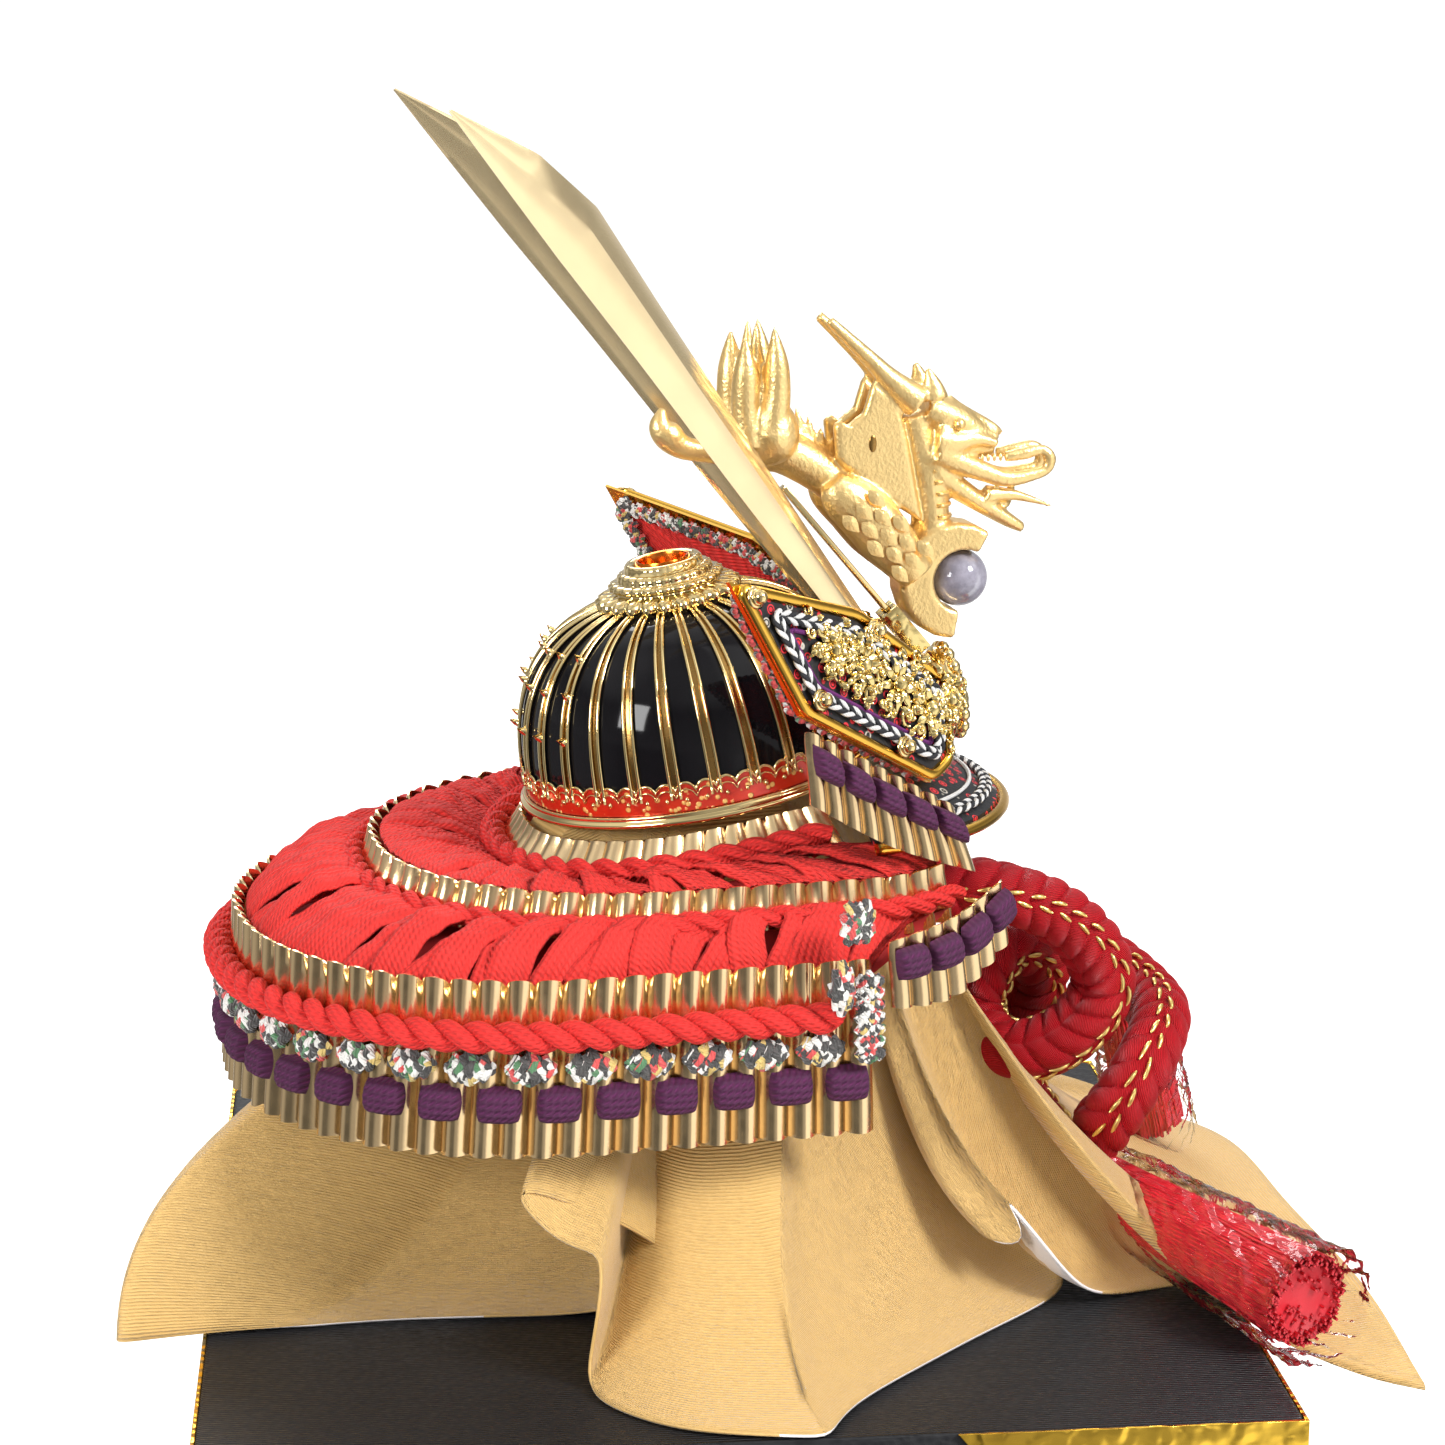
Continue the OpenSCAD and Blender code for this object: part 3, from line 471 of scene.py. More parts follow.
def rope(name, route, node):
    """Plaited cord: four columns of slanted stitches meeting in Vs, with gold thread on two of the seams."""
    path = catmull(np.array(route, float) + [0, 0, BOXH], 12)
    run = lengths(path)[-1]
    path = even(path, int(run / 0.28))
    a, b = frames(path)
    n, sides = len(path), 80
    s = lengths(path)[:, None]
    t = np.linspace(0, 2 * math.pi, sides, endpoint=False)[None, :]
    twist = s / 70.0
    quarter = (t + twist) / (math.pi / 2)
    col = quarter % 1.0 - 0.5          # across one column, -0.5 to 0.5
    odd = (quarter // 1) % 2
    slant = np.where(odd > 0, col, -col)
    ply = (s / 4.1 + slant * 0.95) % 1.0
    lobe = np.sqrt(np.clip(1 - (2 * ply - 1) ** 2, 0, 1))
    across = np.clip(np.cos(math.pi * col), 0, 1) ** 0.5
    r = 4.5 + 0.45 * across + 1.05 * lobe * (0.35 + 0.65 * across)
    ring = path[:, None] + r[...,
                             None] * (a[:, None] * np.cos(t)[..., None] + b[:, None] * np.sin(t)[..., None])
    g = Build()
    uv = np.stack(np.meshgrid(s[:, 0], np.linspace(0, 34.6, sides + 1), indexing="ij"), -1)
    g.grid(ring, close_m=True, uv=uv, caps=True)
    # gold thread: two rows of short stitches on two opposite seams
    per = 4.1 / (run / n)
    for k in (0, 2):
        for row in (-1, 1):
            i = 12.0 + (row > 0) * per / 2
            while i < n - 12:
                d = []
                for u in np.linspace(-1, 1, 5):
                    j = min(max(int(i + u * per * 0.33), 0), n - 1)
                    th = k * math.pi / 2 - twist[j, 0] + row * (0.17 + 0.05 * u)
                    rr = 5.35 + 0.3 * (1 - u * u)
                    d.append(path[j] + rr * (a[j] * math.cos(th) + b[j] * math.sin(th)))
                g.tube(d, [0.2, 0.4, 0.44, 0.4, 0.2], 6, mat=1)
                i += per
    ob = g.make(name, [silk, gold_thread], "helmet", slot="cord_red", replaces=node)
    return ob, path


def tassel_threads(name, ends, r0, r1, node, count, seed):
    """A narrow head, then a brush of threads that widens to its tip."""
    r = np.random.default_rng(seed)
    p, q = np.array(ends[0], float) + [0, 0, BOXH], np.array(ends[1], float) + [0, 0, BOXH]
    axis = unit(q - p)
    long = np.linalg.norm(q - p)
    a = unit(np.cross(axis, [0, 0, 1]))
    b = np.cross(a, axis)
    g = Build()
    # core that fills the brush
    k = np.linspace(0, 1, 60)
    wob = 1 + 0.02 * r.standard_normal((60, 48)) + 0.03 * np.sin(np.arange(48) * 2.1)[None, :]
    g.tube(p + axis * (k * (long - 0.9))[:, None], (r0 - 0.8) + (r1 - r0) * k ** 0.8, 48, wobble=wob)
    for i in range(count):
        th = r.uniform(0, 2 * math.pi)
        rad = math.sqrt(r.uniform(0.55, 1.0)) if i % 5 else math.sqrt(r.uniform(0, 1))
        end = long * r.uniform(0.975, 1.005)
        u = np.linspace(0, 1, 16)
        w1, w2, ph = r.uniform(0.1, 0.4), r.uniform(0.05, 0.25), r.uniform(0, 6.28)
        rr = rad * (r0 - 0.3 + (r1 - r0 - 0.2) * u ** 1.2)
        ang = th + 0.10 * np.sin(u * 9 + ph) * w1 + r.uniform(-0.25, 0.25) * u
        pts = p + axis * (u * end)[:,
                                   None] + (a * (rr * np.cos(ang))[:, None] + b * (rr * np.sin(ang))[:, None])
        pts += a * (w2 * np.sin(u * 14 + ph) * 0.5)[:, None]
        g.tube(pts, 0.34, 4)
    ob = g.make(name, [brush], "helmet", slot="tassel_red", replaces=node)
    return ob, p, q, axis, a, b, long


def crinkled_sleeve(name, p, axis, a, b, long, r0, r1, over, node, seed):
    r = np.random.default_rng(seed)
    n, m = 110, 96
    u = np.linspace(0, 1, n)[:, None]
    t = np.linspace(0, 2 * math.pi, m, endpoint=False)[None, :]
    rr = r0 + (r1 - r0) * u + 0 * t
    for _ in range(26):
        f, h = r.integers(2, 13), r.uniform(3, 40)
        rr = rr + 0.22 * np.abs(np.sin(f * t + h * u + r.uniform(0, 6.28))) - 0.11
    z = u * (long + over)
    pts = p + axis * z[..., None] + a * (rr * np.cos(t))[..., None] + b * (rr * np.sin(t))[..., None]
    g = Build()
    g.grid(pts, close_m=True)
    return g.make(name, [film], "helmet", slot="film_clear", replaces=node)


cord_right, right_path = rope("cord_right_rope", right_route, "cord_right")
cord_left, left_path = rope("cord_left_rope", left_route, "cord_left")
tas_r, p, q, axis, ta, tb, long = tassel_threads("tassel_right_threads", [[-15, -71, 11], [-77, -89, 9.6]],
                                                 5.6, 8.8,
                                                 "tassel_right", 620, 3)
film_r = crinkled_sleeve("film_right_sleeve", p, axis, ta, tb, long, 6.9, 9.9, 3.5, "film_right", 5)
tas_l, p, q, axis, ta, tb, long = tassel_threads("tassel_left_threads", [[6, -86, 37], [14, -94, 10]], 6, 7,
                                                 "tassel_left", 320, 4)
film_l = crinkled_sleeve("film_left_sleeve", p, axis, ta, tb, long, 6.9, 7.9, 3.5, "film_left", 6)

# ---- neck guard ---------------------------------------------------------------------------------
W = 57.0


def leaned(p):
    return bowl(p)


top_line = leaned(u_line(30.5, 32, 28, -14, 8, 0, -2.2))
top_foot = leaned(u_line(36.5, 39, 34, -16, 8, 0, -9))
MID, LOW = BOXH + 80, BOXH + 69
mid_line = u_line(W - 13, W, 42, -20, 20, 50, MID)
mid_foot = u_line(W - 10.5, W + 3.5, 44, -20, 22, 50, MID - 10)
low_line = u_line(W - 3, W + 24.5, W - 5, -18, 8, 0, LOW)
low_foot = u_line(W, W + 27.5, W - 3, -18, 8, 0, LOW - 30)


def down(top, foot, share, out, n, smooth=3):
    t, f = soft_line(top, n, smooth), soft_line(foot, n, smooth)
    s = np.asarray(share, float)
    return t + (f - t) * (s[:, None] if s.ndim else s) + np.asarray(out)[...,
                                                                         None] * sideways(f) if np.ndim(out) \
        else t + (f - t) * (s[:, None] if s.ndim else s) + out * sideways(f)


def lame(name, node, top, foot, thick, depth, body, per=12, crown=0.9, rows=7, pitch=5.0):
    """Gilt strip pressed into rounded flutes, each ending in a rounded scallop at the top."""
    count = round(lengths(np.asarray(foot, float))[-1] / pitch)
    n = count * per
    t, b = soft_line(top, n, 4), soft_line(foot, n, 4)
    q = sideways(b)
    ph = np.arange(n + 1) / per
    lobe = np.abs(np.sin(math.pi * ph))
    off = depth * (2 * lobe ** 0.85 - 1.1)
    k = np.linspace(0, 1, rows)
    up = unit(t - b)
    face = []
    for side in (thick, 0.0):
        col = b[:, None] + (t - b)[:, None] * k[None, :, None]
        col = col + up[:, None] * (crown * (np.sqrt(lobe) - 1.0))[:, None, None] * (k ** 6)[None, :, None]
        lip = 0.35 * k ** 8 - 0.2 * (1 - k) ** 8
        col = col + q[:, None] * (off[:, None] * (1 - 0.15 * k[None, :]) + side + lip[None, :])[..., None]
        face.append(col)
    ring = np.concatenate([face[0], face[1][:, ::-1]], 1)
    g = Build()
    g.grid(ring, close_m=True, caps=True, flip=True)
    return g.make(name, [gold_lame], body, slot="gilt", replaces=node, crease=50)


lame("neck_lame_top_fluted", "neck_lame_top", top_line, top_foot, 0.35, 0.5, "helmet", pitch=4.2, crown=0.5)
lame("neck_lame_middle_fluted", "neck_lame_middle", mid_line, mid_foot, 0.45, 1.05, "middle_lame", crown=1.3)
lame("neck_lame_bottom_fluted", "neck_lame_bottom", low_line, low_foot, 0.45, 1.05, "bottom_lame", rows=9,
     crown=1.6)


def twisted(g, path, radius, pitch, strands=2, sides=10, mat=0, step=0.7, up=None, lay=0.5, thick=0.68):
    """Strands laid round each other along a path."""
    p = even(path, max(8, int(lengths(path)[-1] / step)))
    a, b = frames(p, up)
    s = lengths(p)
    for k in range(strands):
        ph = 2 * math.pi * (s / pitch + k / strands)
        c = p + radius * lay * (a * np.cos(ph)[:, None] + b * np.sin(ph)[:, None])
        g.tube(c, radius * thick, sides, mat=mat, up=up, shift=k * 3.7)
    return p


def braid_path(top, foot, share, out, trim=0):
    p = down(top, foot, share, out, 160)
    return p[trim:len(p) - trim] if trim else p


for name, node, top, foot, share, r, body, trim in (
        ("braid_top_rope", "braid_top", top_line, top_foot, 0.55, 1.95, "helmet", 2),
        ("braid_middle_rope", "braid_middle", mid_line, mid_foot, 0.5, 1.7, "middle_lame", 1),
        ("braid_bottom_rope", "braid_bottom", low_line, low_foot, 0.3, 2.35, "bottom_lame", 4)):
    out = 1.2 + r * 0.82 if node == "braid_top" else 1.4 + r * 0.82
    g = Build()
    twisted(g, braid_path(top, foot, share, out, trim), r, 10.5, 2, 12)
    g.make(name, [red_braid], body, slot="lace_red", replaces=node)


def ribbons(name, node, start, end, pitch, width, sag, body, seed, thick=0.5, lean=0.0, slack=0.8):
    """Knitted ribbons between two lines, lapping like shingles, each with its own sag and creases."""
    r = np.random.default_rng(seed)
    n = len(start) - 1
    s_out = lengths(end)
    count = int(s_out[-1] / pitch)
    g = Build()
    rows, cols = 26, 9
    # a plain dark red layer under the ribbons: painted shade in the gaps between them
    k = np.linspace(0, 1, 8)
    g.grid(start[:, None] * (1 - k)[None, :, None] + end[:, None] * k[None, :, None] - [0, 0, 1.3], mat=1)
    for i in range(count):
        c = (i + 0.5 + r.uniform(-0.12, 0.12)) / count
        jit = r.uniform(-1, 1, 4)
        u = np.linspace(0, 1, rows)
        skew = lean * math.cos(math.pi * c) + 0.6 * jit[0]
        wid = width * (1 + 0.10 * jit[1])
        high = sag * (1 + 0.45 * jit[2])
        ripple = r.uniform(0, 6.28, 3)
        curve = 0.5 * jit[3] * np.sin(math.pi * u)
        total = s_out[-1]
        x = np.linspace(-1, 1, cols)
        pts = np.zeros((rows, cols, 3))
        for a_, ua in enumerate(u):
            narrow = 1 - 0.1 * math.sin(math.pi * ua)
            pos = c + (x * wid * narrow / 2 + (skew * (ua - 0.5) + curve[a_]) * pitch) / total
            pos = np.clip(pos, 0.002, 0.998) * n
            lo = np.stack([np.interp(pos, np.arange(n + 1), start[:, q_]) for q_ in range(3)], -1)
            hi = np.stack([np.interp(pos, np.arange(n + 1), end[:, q_]) for q_ in range(3)], -1)
            base = lo + (hi - lo) * ua
            arch = 0.9 * (1 - x ** 4) + 0.55 * x + 0.13 * np.cos(math.pi * 4 * x)
            crease = 0.22 * np.sin(ua * 23 + ripple[0]) * math.sin(math.pi * ua) \
                + 0.3 * np.sin(ua * 9 + 2 * x + ripple[1]) * math.sin(math.pi * ua)
            lift = high * math.sin(math.pi * ua) ** 0.6 + arch * slack + crease
            pts[a_] = base + np.stack([0 * lift, 0 * lift, lift], -1)
        under = pts[:, ::-1] - [0, 0, thick]
        uv_s = lengths(pts[:, cols // 2])
        ring = np.concatenate([pts, under], 1)
        v = np.concatenate([(x + 1) * wid / 2, wid + (x + 1) * wid / 2, [2 * wid + 0.1]])
        g.grid(ring, close_m=True, uv=np.stack(np.meshgrid(uv_s, v, indexing="ij"), -1), caps=True,
               flip=False)
    return g.make(name, [red_knit, red_gap_shade], body, slot="lace_red", replaces=node)


# painted shade: the dark red that shows in the gaps between the ribbons
red_gap_shade = plain("red_shade", (0.34, 0.008, 0.008), 0.9)
upper_a = down(top_line, top_foot, 0.98, 0.9, 200)
upper_b = down(mid_line, mid_foot, 0.16, -1.1, 200)
ribbons("lacing_upper_ribbons", "lacing_upper", upper_a, upper_b, 4.3, 6.3, 2.6, "helmet", 11, lean=-2.6,
        slack=0.9)
lower_a = down(mid_line, mid_foot, 0.62, 1.7, 240)
lower_b = down(low_line, low_foot, 0.09, -1.1, 240)
ribbons("lacing_lower_ribbons", "lacing_lower", lower_a, lower_b, 5.2, 7.5, 3.6, "middle_lame", 12,
        lean=-3.4, slack=1.0)


def local_axes(line, i):
    """Across, outwards and up at a point of a level line."""
    q = sideways(line)[i]
    return np.array([q[1], -q[0], 0]), q, np.array([0, 0, 1.0])


low_flutes = round(lengths(low_foot)[-1] / 5)


def pad_spots(share, first, out):
    line = down(low_line, low_foot, share, out, low_flutes, 1)
    tilt = unit(soft_line(low_line, low_flutes, 1) - soft_line(low_foot, low_flutes, 1))
    return [(line[i], *local_axes(line, i), tilt[i]) for i in range(first, low_flutes - 1, 2)]


def knot_strands(g, c, x, y, z, half_w, half_h, high, r=0.62, seed=0):
    """An oval knot of crossing strands on a small hump."""
    n = 9
    for k in range(-2, 3):
        for d in (-1, 1):
            t = np.linspace(-1, 1, n)
            px = k * half_w * 0.42 + d * half_w * 0.42 * t
            pz = half_h * t
            e = 1 - (px / (half_w * 1.06)) ** 2 - (pz / (half_h * 1.06)) ** 2
            keep = e > 0.02
            if keep.sum() < 4:
                continue
            h = high * np.sqrt(np.clip(e, 0.02,
                                       1)) + 0.22 * np.sin(math.pi * 2.5 * t + k * 1.6 + (d > 0) * math.pi)
            pts = c + px[:, None] * x + pz[:, None] * z + h[:, None] * y
            g.tube(pts[keep], r, 6, shift=17.3 * k + 5.1 * d + seed * 7.7)


g = Build()
for j, (c, x, q, z, tilt) in enumerate(pad_spots(0.485, 2, 0.9)):
    knot_strands(g, c, x, q, tilt, 3.9, 2.6, 2.3, 0.85, j)
g.make("bead_lacing_knots", [multi], "bottom_lame", slot="braid_chevron", replaces="bead_lacing")


def knitted_block(g, c, x, y, z, w_, h_, d_, mat=0, ribs=5, seed=0):
    """A plump block of knitted lacing with sewn-in ends."""
    n, m = 22, 18
    r = np.random.default_rng(100 + seed)
    u, v = np.meshgrid(np.linspace(-1, 1, n), np.linspace(-1, 1, m), indexing="ij")
    body = (1 - np.abs(u) ** 5) ** 0.5 * (1 - np.abs(v) ** 3.2) ** 0.5
    stitch = 0.16 * np.abs(np.sin(math.pi * ribs * 0.5 * (u + 1) + 1.4 * v)) + 0.08 * np.sin(v * 12 + u * 9)
    hgt = d_ * body + stitch * body
    uu = u * w_ / 2 * (1 - 0.10 * np.abs(v) ** 2 + 0.03 * r.uniform(-1, 1))
    vv = v * h_ / 2 * (1 - 0.07 * np.abs(u) ** 2)
    pts = c + uu[..., None] * x + vv[..., None] * z + hgt[..., None] * y
    uv = np.stack([u * w_ / 2 + seed * 3, v * h_ / 2], -1)
    g.grid(pts, uv=uv, mat=mat)
    back = c + uu[..., None] * x + vv[..., None] * z - 0.02 * y
    g.grid(back, uv=uv, mat=mat, flip=True)


g = Build()
for j, (c, x, q, z, tilt) in enumerate(pad_spots(0.7, 1, 0.7)):
    knitted_block(g, c, x, q, tilt, 7.4, 6.2, 2.8, seed=j)
g.make("purple_lacing_blocks", [purple_knit], "bottom_lame", slot="lace_purple", replaces="purple_lacing")

g = Build()
for s in (-1, 1):
    x0 = s * (W + 2.2)
    for k in range(7):
        z0 = LOW - 15.2 + 2.05 * k
        knot_strands(g, np.array([x0 - s * 0.5 + s * (k - 3) * -0.2, -16.2, z0]), np.array([0, 1.0, 0]),
                     np.array([s * 1.0, 0, 0]), np.array([0, 0.0, 1.0]), 2.5, 1.5, 1.3, 0.55, k + 40)
g.make("edge_lacing_knots", [multi], "bottom_lame", slot="braid_chevron", replaces="edge_lacing")


# fluted strips with purple laces at the turned-back ends
def mirrored(p, s):
    p = np.array(p, float)
    return p if s < 0 else (p * [-1, 1, 1])[::-1]


side_top = [[-38.6, -36.6, 90], [-43.5, -22, 98.8], [-48.6, -7.6, 107.4]]
side_foot = [[-39.5, -41, 78], [-45, -24, 85], [-50.4, -8.6, 94.5]]
turn_top = [[-43, -44, 78], [-50.5, -33, 74], [-55.5, -20.5, 72]]
turn_foot = [[-43, -46, 67], [-51, -34, 60], [-56, -21.5, 60]]
for kind, top, foot, body, count in (("side", side_top, side_foot, "helmet", 5),
                                     ("turned", turn_top, turn_foot, "middle_lame", 4)):
    g = Build()
    for s, word in ((-1, "right"), (1, "left")):
        t = mirrored(np.array(top) + [0, 0, BOXH], s)
        f = mirrored(np.array(foot) + [0, 0, BOXH], s)
        lame(f"{kind}_lame_{word}_fluted", f"{kind}_lame_{word}", catmull(t, 6), catmull(f, 6), 0.35, 0.65,
             body,
             pitch=4.4, crown=0.8)
        line = even(catmull(t * 0.64 + f * 0.36, 6), count * 2)
        ups = unit(even(catmull(t, 6), count * 2) - even(catmull(f, 6), count * 2))
        for i in range(1, count * 2, 2):
            x, q, z = local_axes(line, i)
            knitted_block(g, line[i] + q * 1.1, unit(np.gradient(line, axis=0)[i]), q, ups[i], 6.4, 5.6, 2.5,
                          seed=i + (7 if s > 0 else 3))
    g.make(f"{kind}_lacing_blocks", [purple_knit], body, slot="lace_purple", replaces=f"{kind}_lacing")

# ---- cloth ------------------------------------------------------------------------------------------
def crepe():
    """Gold crepe: fine ribs across, slubs along, from the flat cloth's own millimetres."""
    g = Graph("cloth_crepe", (0.56, 0.35, 0.11), 0.62, 0.0, Sheen_Weight=0.35, Sheen_Roughness=0.35)
    ribs = g.wave(1.0, g.mapped(g.uv, (0.62, 0.03, 1)), 1.2, "X")
    slub = g.noise(1.0, 4, 0.6, g.mapped(g.uv, (0.35, 1.6, 1)))
    fine = g.noise(1.0, 3, 0.7, g.mapped(g.uv, (3.2, 0.5, 1)))
    glint = g.voronoi(1.0, g.mapped(g.uv, (1.4, 1.4, 1)), random=1.0)
    base = g.mix(fine, (0.45, 0.25, 0.065), (0.74, 0.47, 0.16))
    base = g.mix(g.math("MULTIPLY", ribs, 0.35), base, (0.78, 0.56, 0.24))
    base = g.mix(g.math("MULTIPLY", slub, 0.4), base, (0.50, 0.30, 0.085))
    g.colour(base)
    g.rough(g.spread(glint, 0.45, 0.75))
    g.bump(ribs, 0.00013)
    g.bump(fine, 0.00014)
    g.bump(slub, 0.0001)
    return g.m


lining_g = Graph("cloth_lining", (0.82, 0.76, 0.74), 0.5, 0.0, Sheen_Weight=0.2)
lining_g.colour(lining_g.mix(lining_g.noise(1.0, 2, 0.5, lining_g.mapped(lining_g.uv, (3, 3, 1))),
                             (0.74, 0.67, 0.66), (0.88, 0.84, 0.82)))
lining_g.bump(lining_g.wave(1.0, lining_g.mapped(lining_g.uv, (1.6, 1.6, 1)), 0.0, "DIAGONAL"), 0.00004)
crepe_m, cloth_white = crepe(), lining_g.m

# the hem, edge by edge from corner to corner, with the folds that stand clear of the lid
HEM = [
    [(-43, 106, 110.9), (-40, 91, 110.9), (-38, 74, 110.9), (-36.5, 57, 110.9), (-37, 40, 111),
     (-37, 26, 111), (-39, 12, 114), (-45, 8, 121), (-52, 16, 131), (-57, 28, 139), (-60, 38, 143),
     (-62, 28.5, 133),
     (-66, 23, 134), (-67, 24, 122), (-66, 25.5, 112), (-74, 24, 111), (-86, 11, 111)],
    [(-91.5, -11.6, 111.2), (-78, -18.4, 111), (-57, -38.4, 111), (-36, -60, 111.4), (-30, -60, 115),
     (-36, -48, 122), (-44.5, -43.5, 125.5), (-45, -52.5, 123.5), (-41.5, -47.6, 132.5), (-44, -54.6, 124.5),
     (-42.5, -62, 115), (-38, -69, 111.3), (-34, -82, 111), (-31, -98, 110.9), (-31, -110, 110.9),
     (-43, -117, 105.5)],
    [(-57, -121.3, 98), (-30, -117.5, 106.5), (2, -111, 110.9), (38, -108, 110.9), (58, -96, 111),
     (54, -80, 119), (52, -64, 123), (60, -52, 114), (78, -28, 111)],
    [(96, 6, 111), (80, 28, 111), (64, 44, 113), (45, 50, 126), (36, 62, 124), (28, 78, 112.5),
     (-4, 94, 111)]]
TOP_A = [math.radians(a) for a in (108, 194, 274, 366, 468)]


def drape():
    per_edge, rows = 120, 78
    flat_c = [np.array(c) * CLOTH_HALF for c in ((-1, 1), (-1, -1), (1, -1), (1, 1), (-1, 1))]
    hem, flat, theta = [], [], []
    for e_ in range(4):
        line = HEM[e_] + [HEM[(e_ + 1) % 4][0]]
        pts = catmull(np.array(line, float), 10)
        pts = soft_line(pts, per_edge, 3)[:-1]
        k = np.arange(per_edge) / per_edge
        hem.append(pts)
        flat.append(flat_c[e_] + (flat_c[e_ + 1] - flat_c[e_]) * k[:, None])
        theta.append(TOP_A[e_]
                     + (TOP_A[e_ + 1] - TOP_A[e_]) * (0.5 + np.arctan((k - 0.5) * 2) / math.pi * 2 * 0.5))
    hem, flat, theta = np.concatenate(hem), np.concatenate(flat), np.concatenate(theta)
    n = len(hem)
    for _ in range(3):
        hem = (np.roll(hem, 1, 0) + 2 * hem + np.roll(hem, -1, 0)) / 4
    out = np.stack([np.cos(theta), np.sin(theta)], -1)
    centre = np.array([0, HELMET_BACK])
    frontness = np.clip(-out[:, 1], 0, 1) ** 1.5
    pts = np.zeros((n, rows, 3))
    uv = np.zeros((n + 1, rows, 2))
    t = np.linspace(0, 1, rows)
    r0, z0 = 22.5, 203.0    # where the cloth leaves the stand's head
    reach = np.linalg.norm(hem[:, :2] - centre, axis=1)
    dirh = (hem[:, :2] - centre) / reach[:, None]
    for j, tj in enumerate(t):
        cap = 0.2
        if tj < cap:          # over the stand's head
            k = tj / cap
            prof = np.array([[0, 227.2], [7, 226.6], [14, 223.4], [19.2, 219.6], [21.8, 213], [r0, z0]])
            d = np.concatenate([[0], np.cumsum(np.linalg.norm(np.diff(prof, axis=0), axis=1))])
            r = np.interp(k * d[-1], d, prof[:, 0])
            z = np.interp(k * d[-1], d, prof[:, 1])
            pts[:, j, :2] = centre + out * r
            pts[:, j, 2] = z
        else:                 # down the skirt to the hem
            k = (tj - cap) / (1 - cap)
            p0 = np.concatenate([centre + out * r0, np.full((n, 1), z0)], 1)
            up = np.clip((hem[:, 2] - 111) / 30, 0, 1)
            puff = np.clip((reach - 82) / 26, 0, 1) ** 0.8 * np.clip((hem[:, 1] - 20) / 40, 0, 1)
            p1 = np.concatenate([centre + out * (r0 + 5 + 17 * frontness)[:, None],
                                 np.full((n, 1), 165.0) + (8 * frontness)[:, None]], 1)
            mixd = unit(0.35 * out + 0.65 * dirh)
            back = reach * (0.42 - 0.12 * up)
            p2 = np.concatenate([hem[:, :2] - mixd * back[:, None],
                                 (hem[:, 2] + 6 + 16 * up)[:, None]], 1)
            q1 = np.concatenate([centre + dirh * (reach * 0.48)[:, None], np.full((n, 1), 150.0)], 1)
            q2 = np.concatenate([hem[:, :2] - dirh * (reach * 0.02)[:, None], (hem[:, 2] + 46)[:, None]], 1)
            p1 = p1 + (q1 - p1) * puff[:, None]
            p2 = p2 + (q2 - p2) * puff[:, None]
            b = [(1 - k) ** 3, 3 * k * (1 - k) ** 2, 3 * k * k * (1 - k), k ** 3]
            pts[:, j] = b[0] * p0 + b[1] * p1 + b[2] * p2 + b[3] * hem
        uv[:n, j] = flat * tj
    uv[n] = uv[0]
    r = np.random.default_rng(21)
    # soft ripples that grow towards the hem
    ang = np.linspace(0, 2 * math.pi, n, endpoint=False)
    for f_, amp in ((9, 0.5), (17, 0.35), (31, 0.18)):
        ph = r.uniform(0, 6.28)
        pts[:, :, 2] += amp * np.sin(f_ * ang + ph)[:, None] * np.sin(math.pi * np.clip(t, 0, 1)) ** 1.2
    inside = (np.abs(pts[..., 0]) < 91) & (np.abs(pts[..., 1]) < 91)
    pts[..., 2] = np.where(inside, np.maximum(pts[..., 2], 110.75), pts[..., 2])
    g = Build()
    g.grid(pts, close_n=True, uv=uv, flip=True)
    mid = np.concatenate(g.v)[np.array(g.f)].mean(1)
    turned = ((mid[:, 1] > -4) & (mid[:, 1] < 42) & (mid[:, 0] < -33)) \
        | (mid[:, 1] < -76) | ((mid[:, 0] > -39) & (mid[:, 1] < -30))
    turned = turned.astype(int) * 2
    ob = mesh("display_cloth_drape", np.concatenate(g.v) / 1000, g.f,
              [crepe_m, cloth_white, crepe_m, crepe_m], "lid",
              face_mat=list(turned),
              uv=np.concatenate(g.uv), slot="cloth_gold", replaces="display_cloth", metres=True)
    add(ob, "SOLIDIFY", thickness=0.0005, offset=-1, material_offset=1, material_offset_rim=1)
    return ob


cloth = drape()

# ---- horns ------------------------------------------------------------------------------------------
HORN_MOUTH, HORN_WAY = np.array([-9, -36.5, BOXH + 104.0]), unit([-20, 79, 112])
HORN_L, HORN_TWIST = 135.0, 50.0
HORN = np.array([[0, -2.5, 0.5, 0, 0, 2.5, 0.5], [0.1, -3, 1, 0, 0, 3, 1], [0.35, -4.5, 2, 0, 0, 4.5, 2],
                 [0.6, -5.7, 2.6, 0, 0, 5.7, 2.6], [0.77, -7, 3, 0, 0, 7, 3],
                 [0.885, -7.7, 3, -3.8, 1.5, 0, 0.1], [1, -8.3, 3, -8.1, 2.9, -7.8, 2.8]])


def rz(a):
    return np.array([[math.cos(a), -math.sin(a), 0], [math.sin(a), math.cos(a), 0], [0, 0, 1.0]])


def ry(a):
    return np.array([[math.cos(a), 0, math.sin(a)], [0, 1.0, 0], [-math.sin(a), 0, math.cos(a)]])


def along(d):
    a = math.atan2(d[1], d[0])
    return rz(a) @ ry(math.acos(d[2])) @ rz(-a)


